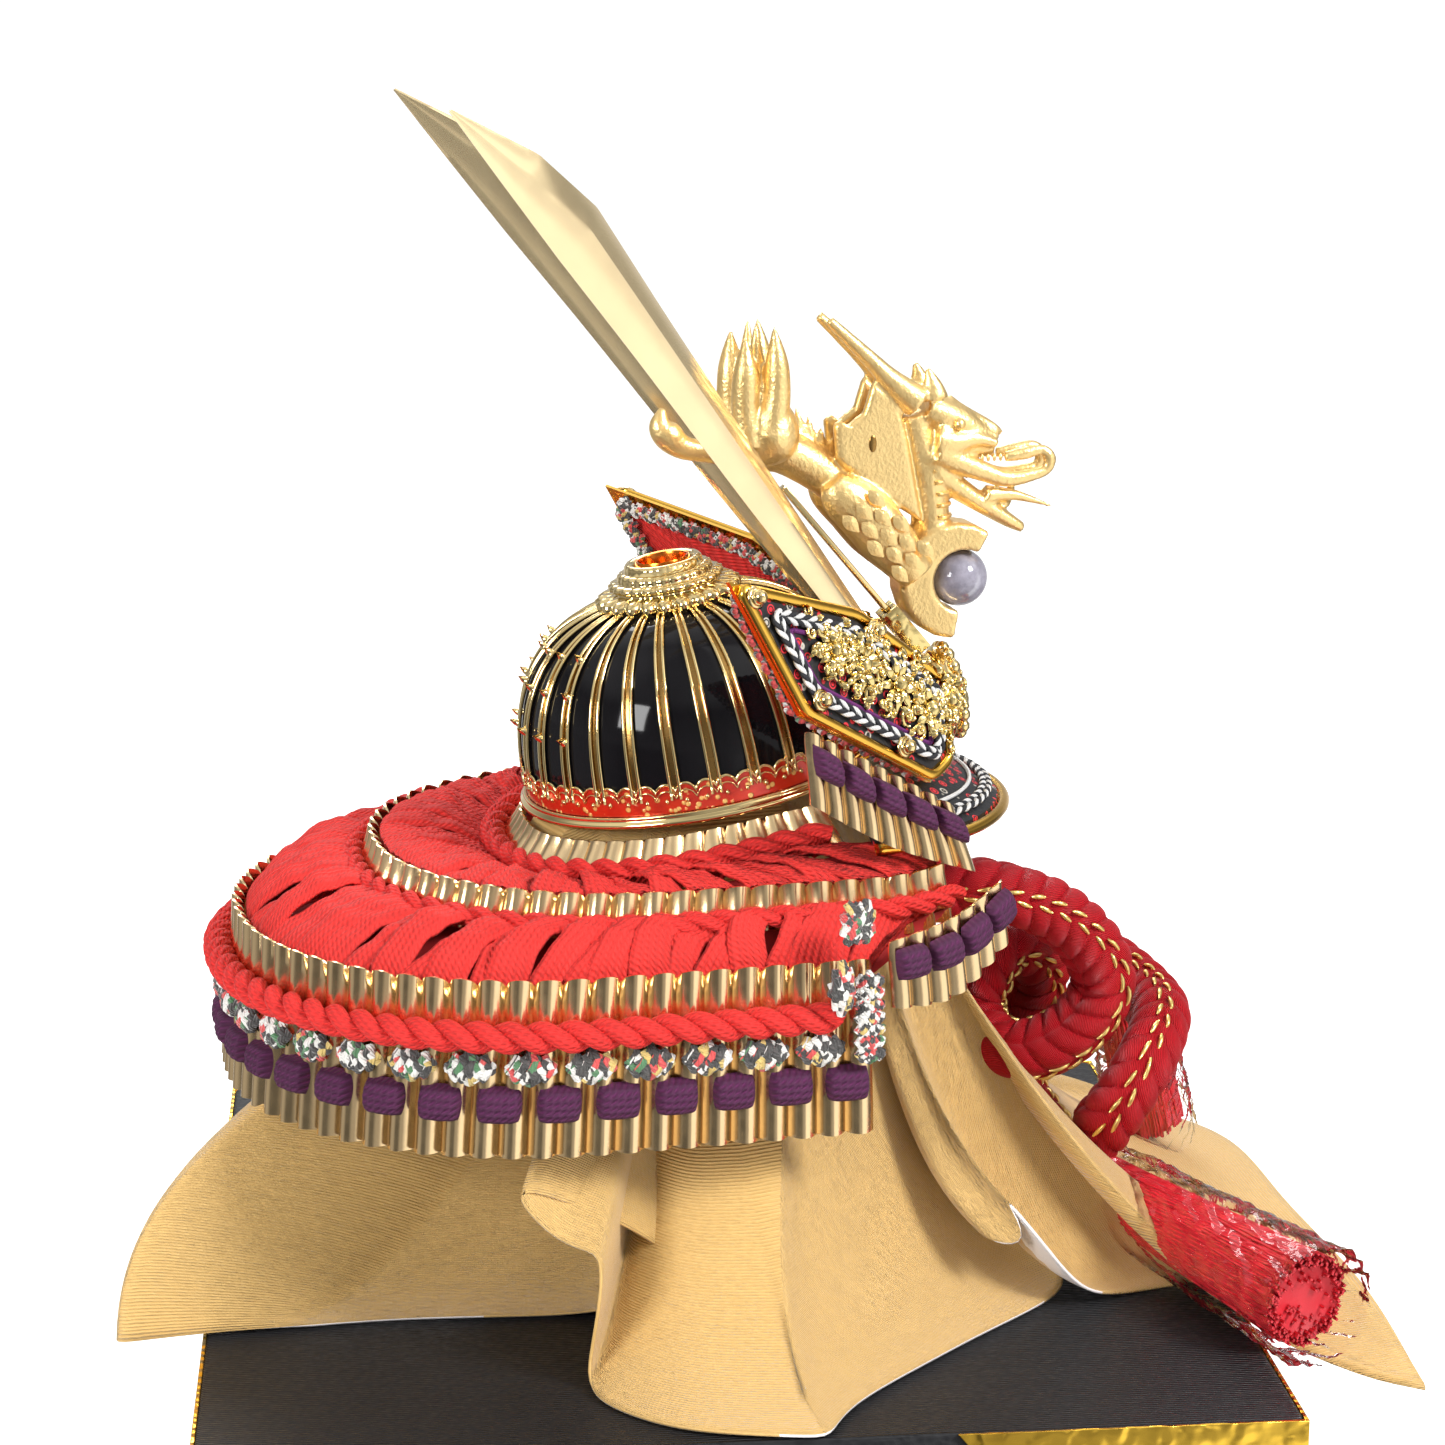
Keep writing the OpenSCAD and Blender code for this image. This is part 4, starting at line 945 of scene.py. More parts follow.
def horn(side, word):
    rot = along(HORN_WAY) @ rz(math.radians(-HORN_TWIST))
    n = 120
    s = np.linspace(0, 1, n)
    col = [np.interp(s, HORN[:, 0], HORN[:, k]) for k in range(1, 7)]
    for k in range(6):
        c = col[k].copy()
        for _ in range(40):
            c[1:-1] = np.where(s[1:-1] < 0.74, (c[:-2] + 2 * c[1:-1] + c[2:]) / 4, c[1:-1])
        col[k] = c
    o = np.stack([col[0], col[1]], -1)
    m_ = np.stack([col[2], col[3]], -1)
    i_ = np.stack([col[4], col[5]], -1)
    cross = []
    for a, b in ((o, m_), (m_, i_)):
        for u in np.linspace(0, 1, 9)[: 9 if b is i_ else 8]:
            p = a + (b - a) * u
            d = b - a
            nn = np.stack([-d[:, 1], d[:, 0]], -1)
            cross.append(p - nn * 0.045 * 4 * u * (1 - u))
    cross = np.stack(cross, 1)
    d = np.gradient(cross, axis=1)
    nrm = unit(np.stack([-d[..., 1], d[..., 0]], -1))
    w_ = np.linspace(0, 1, cross.shape[1])
    thick = (0.7 * np.clip(np.minimum(w_, 1 - w_) * 8 + 0.45, 0, 1))[None, :, None]
    ring = np.concatenate([cross - nrm * 0.0, (cross + nrm * thick)[:, ::-1]], 1)
    z = np.broadcast_to((s * HORN_L + 0.3)[:, None], ring.shape[:2])
    p = np.concatenate([ring, z[..., None]], -1)
    p = p @ rot.T + HORN_MOUTH
    # the flat tongue that sits in the socket
    tz = np.linspace(-8.7, 1.2, 6)
    tongue = np.array([[[x, y, zz] for x,
                        y in ((-2.5, -0.3), (-2.3, -0.45), (2.3, -0.45), (2.5, -0.3), (2.5, 0.3),
                                                (2.3, 0.45), (-2.3, 0.45), (-2.5, 0.3))] for zz in tz])
    q = tongue @ rot.T + HORN_MOUTH
    if side > 0:
        p, q = p * [-1, 1, 1], q * [-1, 1, 1]
    g = Build()
    g.grid(p, close_m=True, caps=True, flip=side < 0)
    g.grid(q, close_m=True, caps=True, flip=side > 0)
    return g.make(f"horn_{word}_blade", [gold_horn], f"{word}_horn", slot="gilt", replaces=f"horn_{word}",
                  crease=28)


horn(-1, "right")
horn(1, "left")

# ---- bowl -------------------------------------------------------------------------------------------
BOWL_R, BOWL_H, RIBS = 31.0, 32.4, 28


def dome(r, h, a):
    """Point of the bowl's rounded profile at the angle a above the base, as radius and height."""
    a = np.asarray(a, float)
    return r * np.cos(a) ** (1 / 1.4), h * np.sin(a) ** (1 / 1.4)


def lathe(g, prof, sides=96, mat=0, lobes=0, amp=None, frame_of=bowl, centre=(0, 0, 0), closed=False,
          flip=False):
    """Turns a profile of (radius, height) about the bowl's axis, with petals where amp isn't nought."""
    prof = np.asarray(prof, float)
    t = np.linspace(0, 2 * math.pi, sides, endpoint=False)
    r = prof[:, :1] + 0 * t[None, :]
    if lobes:
        r = r + np.asarray(amp)[:, None] * np.abs(np.cos(lobes * t / 2))[None, :] ** 0.7
    p = np.stack([r * np.cos(t), r * np.sin(t), np.broadcast_to(prof[:, 1:2], r.shape)],
                 -1) + np.array(centre)
    g.grid(frame_of(p), close_m=True, close_n=closed, mat=mat, flip=flip)


def ball(g, c, r, mat=0, squash=(1, 1, 1), n=6, m=10, axes=None):
    a = np.linspace(-math.pi / 2 * 0.98, math.pi / 2 * 0.98, n)
    t = np.linspace(0, 2 * math.pi, m, endpoint=False)
    p = np.stack([np.cos(a)[:, None] * np.cos(t), np.cos(a)[:, None] * np.sin(t),
                  np.sin(a)[:, None] + 0 * t], -1)
    p = p * r * np.asarray(squash)
    if axes is not None:
        p = p @ np.asarray(axes)
    g.grid(p + np.asarray(c), close_m=True, mat=mat, caps=True)


lacquer = Graph("black_lacquer", (0.0035, 0.0035, 0.0045), 0.05, 0.0, Specular_IOR_Level=0.2)
lacquer.rough(lacquer.spread(lacquer.noise(60, 2), 0.03, 0.09))
lacquer.colour(lacquer.mix(lacquer.noise(25, 3), (0.003, 0.003, 0.004), (0.007, 0.006, 0.007)))
lacquer.bump(lacquer.noise(120, 2), 0.00002)

g = Build()
a0 = math.acos((6.0 / BOWL_R) ** 1.4)
prof = np.stack(dome(BOWL_R, BOWL_H, np.linspace(0, a0, 60)), -1)
inner = np.stack(dome(BOWL_R - 1.2, BOWL_H - 1.2, np.linspace(0, math.acos((6.0 / 29.8) ** 1.4), 30)), -1)
lathe(g, np.concatenate([prof, inner[::-1]]), 144, closed=True, flip=True)
g.make("helmet_bowl_lacquer", [lacquer.m], "helmet", slot="lacquer_black", replaces="helmet_bowl", crease=40)

g = Build()
for k in range(RIBS):
    az = 2 * math.pi * (k + 0.5) / RIBS
    radial, side = np.array([math.cos(az), math.sin(az), 0]), np.array([-math.sin(az), math.cos(az), 0])
    aa = np.linspace(0.05, math.acos((11.2 / BOWL_R) ** 1.4), 34)
    r, z = dome(BOWL_R + 0.42, BOWL_H + 0.42, aa)
    line = radial * r[:, None] + np.array([0, 0, 1.0]) * z[:, None]
    wide = np.interp(r, [11, 31], [0.42, 0.8])[:, None]
    for s in (-1, 1):
        g.tube(bowl(line + side * s * wide), 0.33, 7)
    # a darker gold strip sunk between the two wires: painted shade in the channel
    low = line - unit(line) * 0.3
    strip = np.stack([low - side * wide, low + side * wide], 1)
    g.grid(bowl(strip), mat=1)
    back = math.sin(az)
    if back > 0.72:
        for q in (7, 14, 21):
            n_ = unit(line[q] + [0, 0, 4.0])
            g.tube(bowl(np.array([line[q], line[q] + n_ * 0.8, line[q] + n_ * 1.9])), [0.75, 0.62, 0.06], 8)
g.make("bowl_ribs_wires", [gold_bright, gold_shade := gilt("gold_shade", (0.35, 0.2, 0.06), 0.25)], "helmet",
       slot="gilt", replaces="bowl_ribs")

enamel = Graph("red_enamel", (0.55, 0.02, 0.008), 0.22, 0.35, Coat_Weight=0.5)
fleck = enamel.ramp(enamel.voronoi(620), [(0.0, (1, 1, 1)), (0.22, (1, 1, 1)), (0.34, (0, 0, 0))])
enamel.colour(enamel.mix(fleck, enamel.mix(enamel.noise(300, 3), (0.36, 0.008, 0.004), (0.75, 0.045, 0.012)),
                         (0.86, 0.5, 0.15)))
enamel.bump(fleck, 0.00018)
enamel.bump(enamel.noise(900, 2), 0.00006)

g = Build()
n_t = RIBS * 20
t = np.arange(n_t) * 2 * math.pi / n_t
ph = (t * RIBS / (2 * math.pi) - 0.5) % 1.0
arch = 1.5 * np.abs(np.sin(2 * math.pi * ph)) ** 0.6
top_z = 5.1 + arch
rows = []
for k in np.linspace(0, 1, 7):
    zz = 1.5 + (top_z - 1.5) * k
    aa = np.arcsin(np.clip(zz / BOWL_H, 0, 1) ** 1.4)
    r, _ = dome(BOWL_R + 0.28, BOWL_H, aa)
    rows.append(np.stack([r * np.cos(t), r * np.sin(t), zz], -1))
rows = np.array(rows)
g.grid(bowl(rows), close_m=True, mat=0, flip=False)
edge = np.concatenate([rows[-1], rows[-1][:1]])
g.tube(bowl(edge + unit(edge * [1, 1, 0]) * 0.12), 0.3, 6, mat=1)
low = rows[-1] * [1, 1, 0] + np.stack([0 * t, 0 * t, top_z - 1.15], -1)
low = np.concatenate([low, low[:1]])
g.tube(bowl(low + unit(low * [1, 1, 0]) * 0.25), 0.16, 5, mat=1)
for k in range(RIBS * 2):
    az = 2 * math.pi * (k / 2 + 0.75) / RIBS
    c = np.array([31.35 * math.cos(az), 31.35 * math.sin(az), 3.6])
    ball(g, bowl(c), 0.45, 1, n=5, m=8)
g.make("bowl_band_enamel", [enamel.m, gold_bright], "helmet", slot="enamel_red", replaces="bowl_band")

g = Build()
ring = [(31.2, -0.5), (31.5, -0.75), (32.3, -0.6), (32.75, -0.1), (32.6, 0.45), (32.0, 0.6), (31.9, 0.9),
        (32.1, 1.25), (31.8, 1.5), (31.25, 1.45)]
lathe(g, ring, 160, closed=True, flip=True)
g.make("bowl_rim_turned", [gold_bright], "helmet", slot="gilt", replaces="bowl_rim")

# crown: stacked rosettes with lobed edges
g = Build()
base_z = BOWL_H - 1.4
tiers = [(10.2, 0.1, 1.6), (11.2, 0.5, 1.9), (11.3, 2.3, 1.9), (10.4, 3.0, 1.5), (9.2, 3.1, 0.4),
         (9.1, 3.6, 0.3),
         (9.9, 4.0, 0.5), (9.9, 4.6, 0.5), (9.0, 5.0, 0.4), (8.3, 5.0, 0.2), (8.4, 5.4, 0.3), (8.1, 6.2, 0.3),
         (7.3, 6.5, 0.2), (7.0, 6.5, 0.1), (6.9, 7.4, 0.1), (6.5, 7.9, 0.1), (5.8, 7.9, 0.0), (5.2, 7.5, 0),
         (5.1, 3, 0),
         (5.1, 0.2, 0)]
lathe(g, [(r, z + base_z) for r, z, _ in tiers], 192, lobes=24, amp=[a for *_, a in tiers], closed=True,
      flip=True)
g.make("crown_plate_rosette", [gold_bright], "helmet", slot="gilt", replaces="crown_plate")
g = Build()
cup = [(0.05, 0.3), (4.8, 0.3), (4.95, 0.6), (4.95, 7.7), (4.75, 8.2), (4.4, 8.1), (4.2, 7.6), (4.2, 1.4),
       (3.9, 1.2), (0.05, 1.2)]
lathe(g, [(r, z + base_z) for r, z in cup], 72, closed=True, flip=True)
cup_m = gilt("orange_gilt", (0.78, 0.22, 0.03), 0.2)
g.make("crown_cup_turned", [cup_m], "helmet", slot="gilt_orange", replaces="crown_cup", crease=40)


# ---- leather, braid and filigree --------------------------------------------------------------------
def printed_leather():
    """Black leather printed with small red flowers and stalks in pale green."""
    g = Graph("printed_leather", (0.006, 0.006, 0.008), 0.5, 0.0)
    cell = g.voronoi(430, random=0.55)
    petals = g.ramp(cell, [(0.0, (1, 1, 1)), (0.16, (1, 1, 1)), (0.2, (0, 0, 0)), (0.27, (0, 0, 0)),
                           (0.29, (1, 1, 1)),
                           (0.36, (1, 1, 1)), (0.40, (0, 0, 0))])
    pick = g.voronoi(430, random=0.55, out="Color")
    tint = g.ramp(pick, [(0, (0.62, 0.02, 0.03)), (0.6, (0.62, 0.02, 0.03)), (0.75, (0.45, 0.42, 0.36))],
                  True)
    g.colour(g.mix(petals, (0.006, 0.006, 0.008), tint))
    g.bump(g.voronoi(1500, feature="SMOOTH_F1"), 0.00006)
    g.rough(g.spread(g.noise(700, 3), 0.35, 0.6))
    return g.m


leather = printed_leather()
thread_white = knit("thread_white", (0.62, 0.61, 0.60), 0.5, 0.5, deep=0.0001, dark=0.6)
thread_black = knit("thread_black", (0.012, 0.012, 0.016), 0.5, 0.5, deep=0.0001, dark=0.6)
thread_purple = knit("thread_purple", (0.12, 0.01, 0.12), 0.5, 0.5, deep=0.0001, dark=0.6)


def chevron(g, path, up, r=0.6, pitch=3.4, apart=1.1, mats=(0, 1)):
    """Two ropes of two colours laid opposite ways, side by side, so that their stitches meet in Vs."""
    p = even(path, int(lengths(path)[-1] / 0.35))
    a, b = frames(p, up)
    s = lengths(p)
    for side in (-1, 1):
        c0 = p + a * side * apart / 2
        for k in range(2):
            ph = side * 2 * math.pi * (s / pitch) + k * math.pi
            c = c0 + 0.42 * r * (a * np.cos(ph)[:, None] + b * np.sin(ph)[:, None])
            g.tube(c, r * 0.74, 7, mat=mats[k], up=up)


def scroll(g, at, x, y, n, size, turns=1.4, hand=1, start=0.0, r=0.55, mat=0):
    """A raised curl with a bead at its eye."""
    t = np.linspace(0, 1, 16)
    ang = start + hand * turns * 2 * math.pi * t
    rad = size * (1 - 0.85 * t)
    c = at + x * (rad * np.cos(ang))[:, None] + y * (rad * np.sin(ang))[:, None] + n * (0.5 + 0.7 * t)[:,
                                                                                                       None]
    g.tube(c, r * (0.35 + 0.65 * np.sin(math.pi * (0.15 + 0.75 * t))), 6, mat=mat)
    ball(g, c[-1], r * 1.1, mat, n=5, m=7)


def leaf(g, at, x, y, n, long, wide, turn, high, mat=0):
    d = x * math.cos(turn) + y * math.sin(turn)
    e_ = -x * math.sin(turn) + y * math.cos(turn)
    t = np.linspace(0, 1, 7)
    w_ = np.linspace(-1, 1, 5)
    p = np.zeros((7, 5, 3))
    for i, ti in enumerate(t):
        half = wide * math.sin(math.pi * min(0.98, max(0.03, ti ** 0.8)))
        p[i] = at + d * long * ti + e_[None] * (half * w_)[:, None] \
            + n[None] * (high * (math.sin(math.pi * (0.1 + 0.8 * ti)) * (1 - 0.55 * np.abs(w_))
                                 + 0.25 * np.abs(w_)))[:, None]
    g.grid(p, mat=mat)
    g.grid(p - n * 0.35, mat=mat, flip=True)


# ---- side plates --------------------------------------------------------------------------------------
PO, PX = np.array([-48, -7, BOXH + 109.5]), unit([15, -29.6, -18.1])
PN = unit(np.cross(PX, [-2, 12.8, 22.4]))
PY = np.cross(PN, PX)
OUT = np.array([[-21.6, 15.5], [0, 0], [34, 0], [38, 5], [34, 19], [8, 22]], float)


def inset(poly, d):
    n = len(poly)
    out = []
    for i in range(n):
        a, b, c = poly[i - 1], poly[i], poly[(i + 1) % n]
        u, v = unit(b - a), unit(c - b)
        nu, nv = np.array([-u[1], u[0]]), np.array([-v[1], v[0]])
        m_ = unit(nu + nv)
        out.append(b + m_ * d / max(0.3, np.dot(m_, nu)))
    return np.array(out)


def on_plate(p, z, s):
    p = np.asarray(p, float)
    q = PO + PX * p[..., :1] + PY * p[..., 1:2] + PN * np.asarray(z)[..., None] if np.ndim(z) else \
        PO + PX * p[..., :1] + PY * p[..., 1:2] + PN * z
    return q * [-s, 1, 1] if s > 0 else q


def round_corners(poly, r, n=5):
    out = []
    m_ = len(poly)
    for i in range(m_):
        a, b, c = poly[i - 1], poly[i], poly[(i + 1) % m_]
        p, q = b + unit(a - b) * r, b + unit(c - b) * r
        for t in np.linspace(0, 1, n):
            out.append((1 - t) ** 2 * p + 2 * t * (1 - t) * b + t * t * q)
    out.append(out[0])
    return np.array(out)


for s, word in ((-1, "right"), (1, "left")):
    flip = np.array([-1, 1, 1]) if s > 0 else np.array([1, 1, 1])
    n_ = PN * flip
    rim = on_plate(round_corners(inset(OUT, 0.85), 1.6), 0.75, s)
    g = Build()
    g.tube(even(rim, 170), 1.05, 10, up=n_)
    g.make(f"side_rim_{word}_rolled", [gold_rim], "helmet", slot="gilt", replaces=f"side_rim_{word}")
    g = Build()
    chevron(g, on_plate(round_corners(inset(OUT, 4.1), 1.4), 1.7, s), n_)
    # a grey piping between the braid and the field
    pipe = on_plate(round_corners(inset(OUT, 5.9), 1.2), 1.0, s)
    g.tube(even(pipe, 120), 0.45, 6, mat=2, up=n_)
    g.make(f"side_braid_{word}_chevron", [thread_white, thread_black, thread_purple], "helmet",
           slot="braid_chevron", replaces=f"side_braid_{word}")
    g = Build()
    r = np.random.default_rng(31)
    x_, y_ = PX * flip, PY * flip
    for cx, cy, cr in ((3.5, 13, 4.4), (11.0, 13, 6.0), (20.5, 13, 6.4), (29.5, 11.6, 5.6), (34, 15, 3.6)):
        c = on_plate(np.array([cx, cy]), 1.0, s)
        ball(g, c + n_ * 1.0, 1.5, squash=(1, 1, 1))
        for k in range(9):
            th = 2 * math.pi * k / 9 + r.uniform(-0.1, 0.1)
            leaf(g, c + (x_ * math.cos(th) + y_ * math.sin(th)) * 1.2, x_, y_, n_, cr * 0.62, 0.8, th, 1.6)
        for k in range(7):
            th = 2 * math.pi * k / 7 + r.uniform(-0.2, 0.2)
            at = c + (x_ * math.cos(th) + y_ * math.sin(th)) * cr * r.uniform(0.7, 0.95)
            scroll(g, at, x_, y_, n_, r.uniform(1.1, 1.8), 1.3, 1 if k % 2 else -1, th, 0.5)
    for k in range(110):
        px, py = r.uniform(-4, 37), r.uniform(6.4, 19.5)
        if px < 0 and py < 9:
            continue
        c = on_plate(np.array([px, py]), 1.0, s)
        th = r.uniform(0, 6.28)
        if k % 3:
            leaf(g, c, x_, y_, n_, r.uniform(1.6, 2.8), 0.55, th, r.uniform(1.2, 2.8))
        else:
            scroll(g, c, x_, y_, n_, r.uniform(0.8, 1.4), 1.2, 1, th, 0.42)
    g.make(f"side_crest_{word}_scrolls", [gold_chased], "helmet", slot="gilt", replaces=f"side_crest_{word}")
    g = Build()
    for px, py in ((-17.2, 14.2), (2, 3.2), (24, 2.7), (12, 19.4)):
        c = on_plate(np.array([px, py]), 2.1, s)
        for rad, z0, z1 in ((2.0, 0.0, 0.5), (1.5, 0.4, 1.0)):
            tt = np.linspace(0, 2 * math.pi, 20, endpoint=False)
            circ = np.array([[c + (x_ * math.cos(q_) + y_ * math.sin(q_)) * rad * f_ + n_ * zz for q_ in tt]
                             for f_, zz in ((0.9, z0), (1.0, (z0 + z1) / 2), (0.75, z1), (0.02, z1))])
            g.grid(circ, close_m=True)
        ball(g, c + n_ * 1.2, 1.25, n=8, m=14)
    g.make(f"side_rivets_{word}_domes", [gold_bright], "helmet", slot="gilt", replaces=f"side_rivets_{word}")
    # behind the plate: red lining and the chequered lacing that binds its edge
    g = Build()
    flat = inset(OUT, 2.2)
    c = flat.mean(0)
    back = np.array([on_plate(c + (round_corners(flat, 1.5) - c) * k, -1.25 - 0.3 * k, s) for k in (0.02,
                                                                                                    0.5,
                                                                                                    1.0)])
    g.grid(back, mat=0)
    edge = even(on_plate(round_corners(inset(OUT, 1.6), 1.5), -1.9, s), 44)
    tang = unit(np.gradient(edge, axis=0))
    for k in range(0, 44):
        inward = unit(np.cross(tang[k], n_))
        knot_strands(g, edge[k], tang[k], -n_, inward, 1.5, 1.4, 1.1, 0.55, k)
    g.fm = [0 if i < 2 * 30 else 1 for i in range(len(g.fm))]
    g.make(f"side_back_{word}_lacing", [red_knit, multi], "helmet", slot="lace_red")

# ---- visor ------------------------------------------------------------------------------------------
def visor_arc(radius, lift, n=120, edge=-20.2):
    lim = math.acos(min(1, (-edge - 12) / radius))
    a = np.linspace(-lim, lim, n)
    x, y = radius * np.sin(a), -12 - radius * np.cos(a)
    rho = np.hypot(x, y)
    z = -1.2 - (rho - 32.8) * 21.8 / 29.2
    return bowl(np.stack([x, y, z + lift], -1))


up_bowl = unit(bowl(np.array([0, -0.6, 1.0])) - bowl(np.zeros(3)))
g = Build()
g.tube(visor_arc(41.3, 0.75), 1.1, 10, up=up_bowl)
g.make("visor_rim_rolled", [gold_rim], "helmet", slot="gilt", replaces="visor_rim")
g = Build()
chevron(g, visor_arc(38.6, 2.2), up_bowl)
g.tube(visor_arc(35.9, 1.8), 0.4, 6, mat=0, up=up_bowl)
g.make("visor_braid_chevron", [thread_white, thread_black, thread_purple], "helmet", slot="braid_chevron",
       replaces="visor_braid")


def refined(node, material, body, bevel=0.0004, name=None, angle=35):
    """The CAD node's own shape with its edges eased."""
    src = NODE[node]
    me = src.data.copy()
    me.name = (name or node + "_eased")
    ob = bpy.data.objects.new(name or node + "_eased", me)
    bpy.context.scene.collection.objects.link(ob)
    me.materials.clear()
    me.materials.append(material)
    add(ob, "WELD", merge_threshold=0.00001)
    b = add(ob, "BEVEL", width=bevel, segments=3, limit_method="ANGLE", angle_limit=math.radians(angle))
    b.harden_normals = False
    me.polygons.foreach_set("use_smooth", [True] * len(me.polygons))
    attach(ob, body)
    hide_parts(node)
    return ob


# ---- crest base and medallion ---------------------------------------------------------------------------
g = Build()
r = np.random.default_rng(8)
for k in range(60):
    az = math.radians(-90 + r.uniform(-34, 34))
    z = r.uniform(-3, 9.2)
    radial = np.array([math.cos(az), math.sin(az), 0])
    c = bowl(radial * 44.25 + [0, 0, z])
    x_ = bowl(np.array([-math.sin(az), math.cos(az), 0])) - bowl(np.zeros(3))
    n_ = bowl(radial) - bowl(np.zeros(3))
    y_ = np.cross(n_, x_)
    if k % 2:
        leaf(g, c, x_, y_, n_, r.uniform(1.8, 3.2), 0.7, r.uniform(0, 6.28), r.uniform(0.8, 1.4))
    else:
        scroll(g, c, x_, y_, n_, r.uniform(1.0, 1.9), 1.3, 1 if k % 4 else -1, r.uniform(0, 6.28), 0.45)
edge = [bowl(np.array([44.4 * math.cos(a), 44.4 * math.sin(a), z])) for a, z in
        [(math.radians(q), 10.3) for q in np.linspace(-122, -58, 40)]]
g.tube(np.array(edge), 0.55, 7)
g.make("crest_base_relief", [gold_chased], "helmet", slot="gilt")
refined("crest_base", gold_chased, "helmet", 0.0003)
g = Build()
c = bowl(np.array([0, -47.4, 3.4]))
x_, n_ = np.array([1.0, 0, 0]), bowl(np.array([0, -1.0, 0])) - bowl(np.zeros(3))
y_ = np.cross(n_, x_)
axes = np.array([x_, y_, n_])
for rad, z, sq in ((8.6, -0.8, 0.3), (6.0, 0.9, 0.3), (2.5, 2.0, 0.7)):
    ball(g, c + n_ * z, rad, squash=(1, 1, sq), n=10, m=32, axes=axes)
for k in range(16):
    th = 2 * math.pi * k / 16
    d = x_ * math.cos(th) + y_ * math.sin(th)
    ball(g, c + d * 7.9 + n_ * 0.5, 1.35, n=6, m=10)
    leaf(g, c + d * 2.2 + n_ * 1.3, x_, y_, n_, 4.6, 0.95, th, 1.4)
    scroll(g, c + d * 5.6 + n_ * 0.8, x_, y_, n_, 1.2, 1.2, 1, th, 0.45)
g.make("crest_medallion_flower", [gold_bright], "helmet", slot="gilt", replaces="crest_medallion")

# ---- orb, pin -------------------------------------------------------------------------------------------
glass = Graph("crystal_ball", (0.2, 0.2, 0.25), 0.06, 0.0, Transmission_Weight=0.15, IOR=1.5)
glass.colour(glass.mix(glass.noise(260, 4, 0.7), (0.03, 0.025, 0.04), (0.42, 0.40, 0.48)))
ORB = np.array([0, -49, BOXH + 122.0])
g = Build()
ball(g, ORB, 5.25, n=32, m=48)
g.make("dragon_orb_ball", [glass.m], "dragon_crest", slot="orb_glass", replaces="dragon_orb")
refined("dragon_pin", gold_bright, "dragon_crest", 0.00015)

# ---- box, stand, lining -----------------------------------------------------------------------------------
paper = Graph("ribbed_black_leather", (0.006, 0.006, 0.008), 0.42, 0.0, Specular_IOR_Level=0.35)
rib = paper.wave(1.0, paper.mapped(paper.co, (420, 30, 420), (0, 0, 0.05)), 1.6, "X")
grain = paper.voronoi(1.0, paper.mapped(paper.co, (900, 700, 900)))
paper.colour(paper.mix(paper.noise(40, 4), (0.0035, 0.0035, 0.0045), (0.009, 0.009, 0.011)))
paper.rough(paper.spread(grain, 0.3, 0.55))
paper.bump(rib, 0.00022)
paper.bump(grain, 0.00007)
refined("box_lid", paper.m, "lid", 0.0012)
refined("box_base", paper.m, "box", 0.0012)
emboss = gilt("embossed_fitting", (1.0, 0.58, 0.07), 0.2, 0.00002, 500, 0.0004, 240)
refined("lid_corner_fittings", emboss, "lid", 0.0002)
wood = Graph("pale_wood", (0.55, 0.36, 0.18), 0.5)
wood.colour(wood.ramp(wood.wave(40, wood.mapped(wood.co, (1, 1, 0.15)), 6.0, kind="RINGS"),
                      [(0, (0.48, 0.30, 0.14)), (1, (0.66, 0.46, 0.26))]))
wood.bump(wood.noise(500, 3), 0.00005)
refined("stand_base", wood.m, "lid", 0.0006)
refined("stand_post", wood.m, "lid", 0.0004)
foam = plain("pale_foam", (0.8, 0.76, 0.66), 0.9, 0.08, 0.0002, 700)
refined("stand_head", foam, "lid", 0.0005)


def set_mat(node, material):
    me = NODE[node].data
    me.materials.clear()
    me.materials.append(material)


brocade = Graph("lining_brocade", (0.3, 0.01, 0.012), 0.7, Sheen_Weight=0.2)
brocade.colour(brocade.mix(brocade.voronoi(260), (0.34, 0.010, 0.012), (0.16, 0.005, 0.006)))
brocade.bump(brocade.wave(1.0, brocade.mapped(brocade.co, (300, 300, 300)), 0.0, "DIAGONAL"), 0.00008)
g = Build()
a1 = math.acos((6.0 / 29.6) ** 1.4)
top = np.stack(dome(29.6, BOWL_H - 1.3, np.linspace(0, a1, 30)), -1)
low = np.stack(dome(28.8, BOWL_H - 2.1, np.linspace(0, a1, 30)), -1)
lathe(g, np.concatenate([top, low[::-1]]), 72, closed=True, flip=True)
g.make("helmet_lining_quilted", [brocade.m], "helmet", slot="lining_red", replaces="helmet_lining")
set_mat("visor_plate", leather)
for word in ("right", "left"):
    set_mat(f"side_leather_{word}", leather)
    set_mat(f"side_plate_{word}", gold_rim)

# chequered lashings where the bottom lame's edge meets the turned end of the middle one
g = Build()
for c, half_w, half_h, turn in (((-57.5, -14.0, 186.2), 2.6, 3.9, 0.5),
                                ((-57.5, -14.0, 186.2), 2.6, 3.9, -0.5),
                                ((-60.5, -10.6, 176.0), 1.9, 4.6, 0.0)):
    for s in (-1, 1):
        x_, z_ = unit([0.25 * -s, -1, 0]), np.array([0, 0, 1.0])
        q_ = np.array([s * 1.0, -0.3, 0])
        cc = np.array(c) * [-s, 1, 1]
        xr, zr = x_ * math.cos(turn) + z_ * math.sin(turn), z_ * math.cos(turn) - x_ * math.sin(turn)
        knot_strands(g, cc, xr, unit(q_), zr, half_w, half_h, 1.8, 0.8, int(10 * turn))
g.make("edge_lashings", [multi], "bottom_lame", slot="braid_chevron")

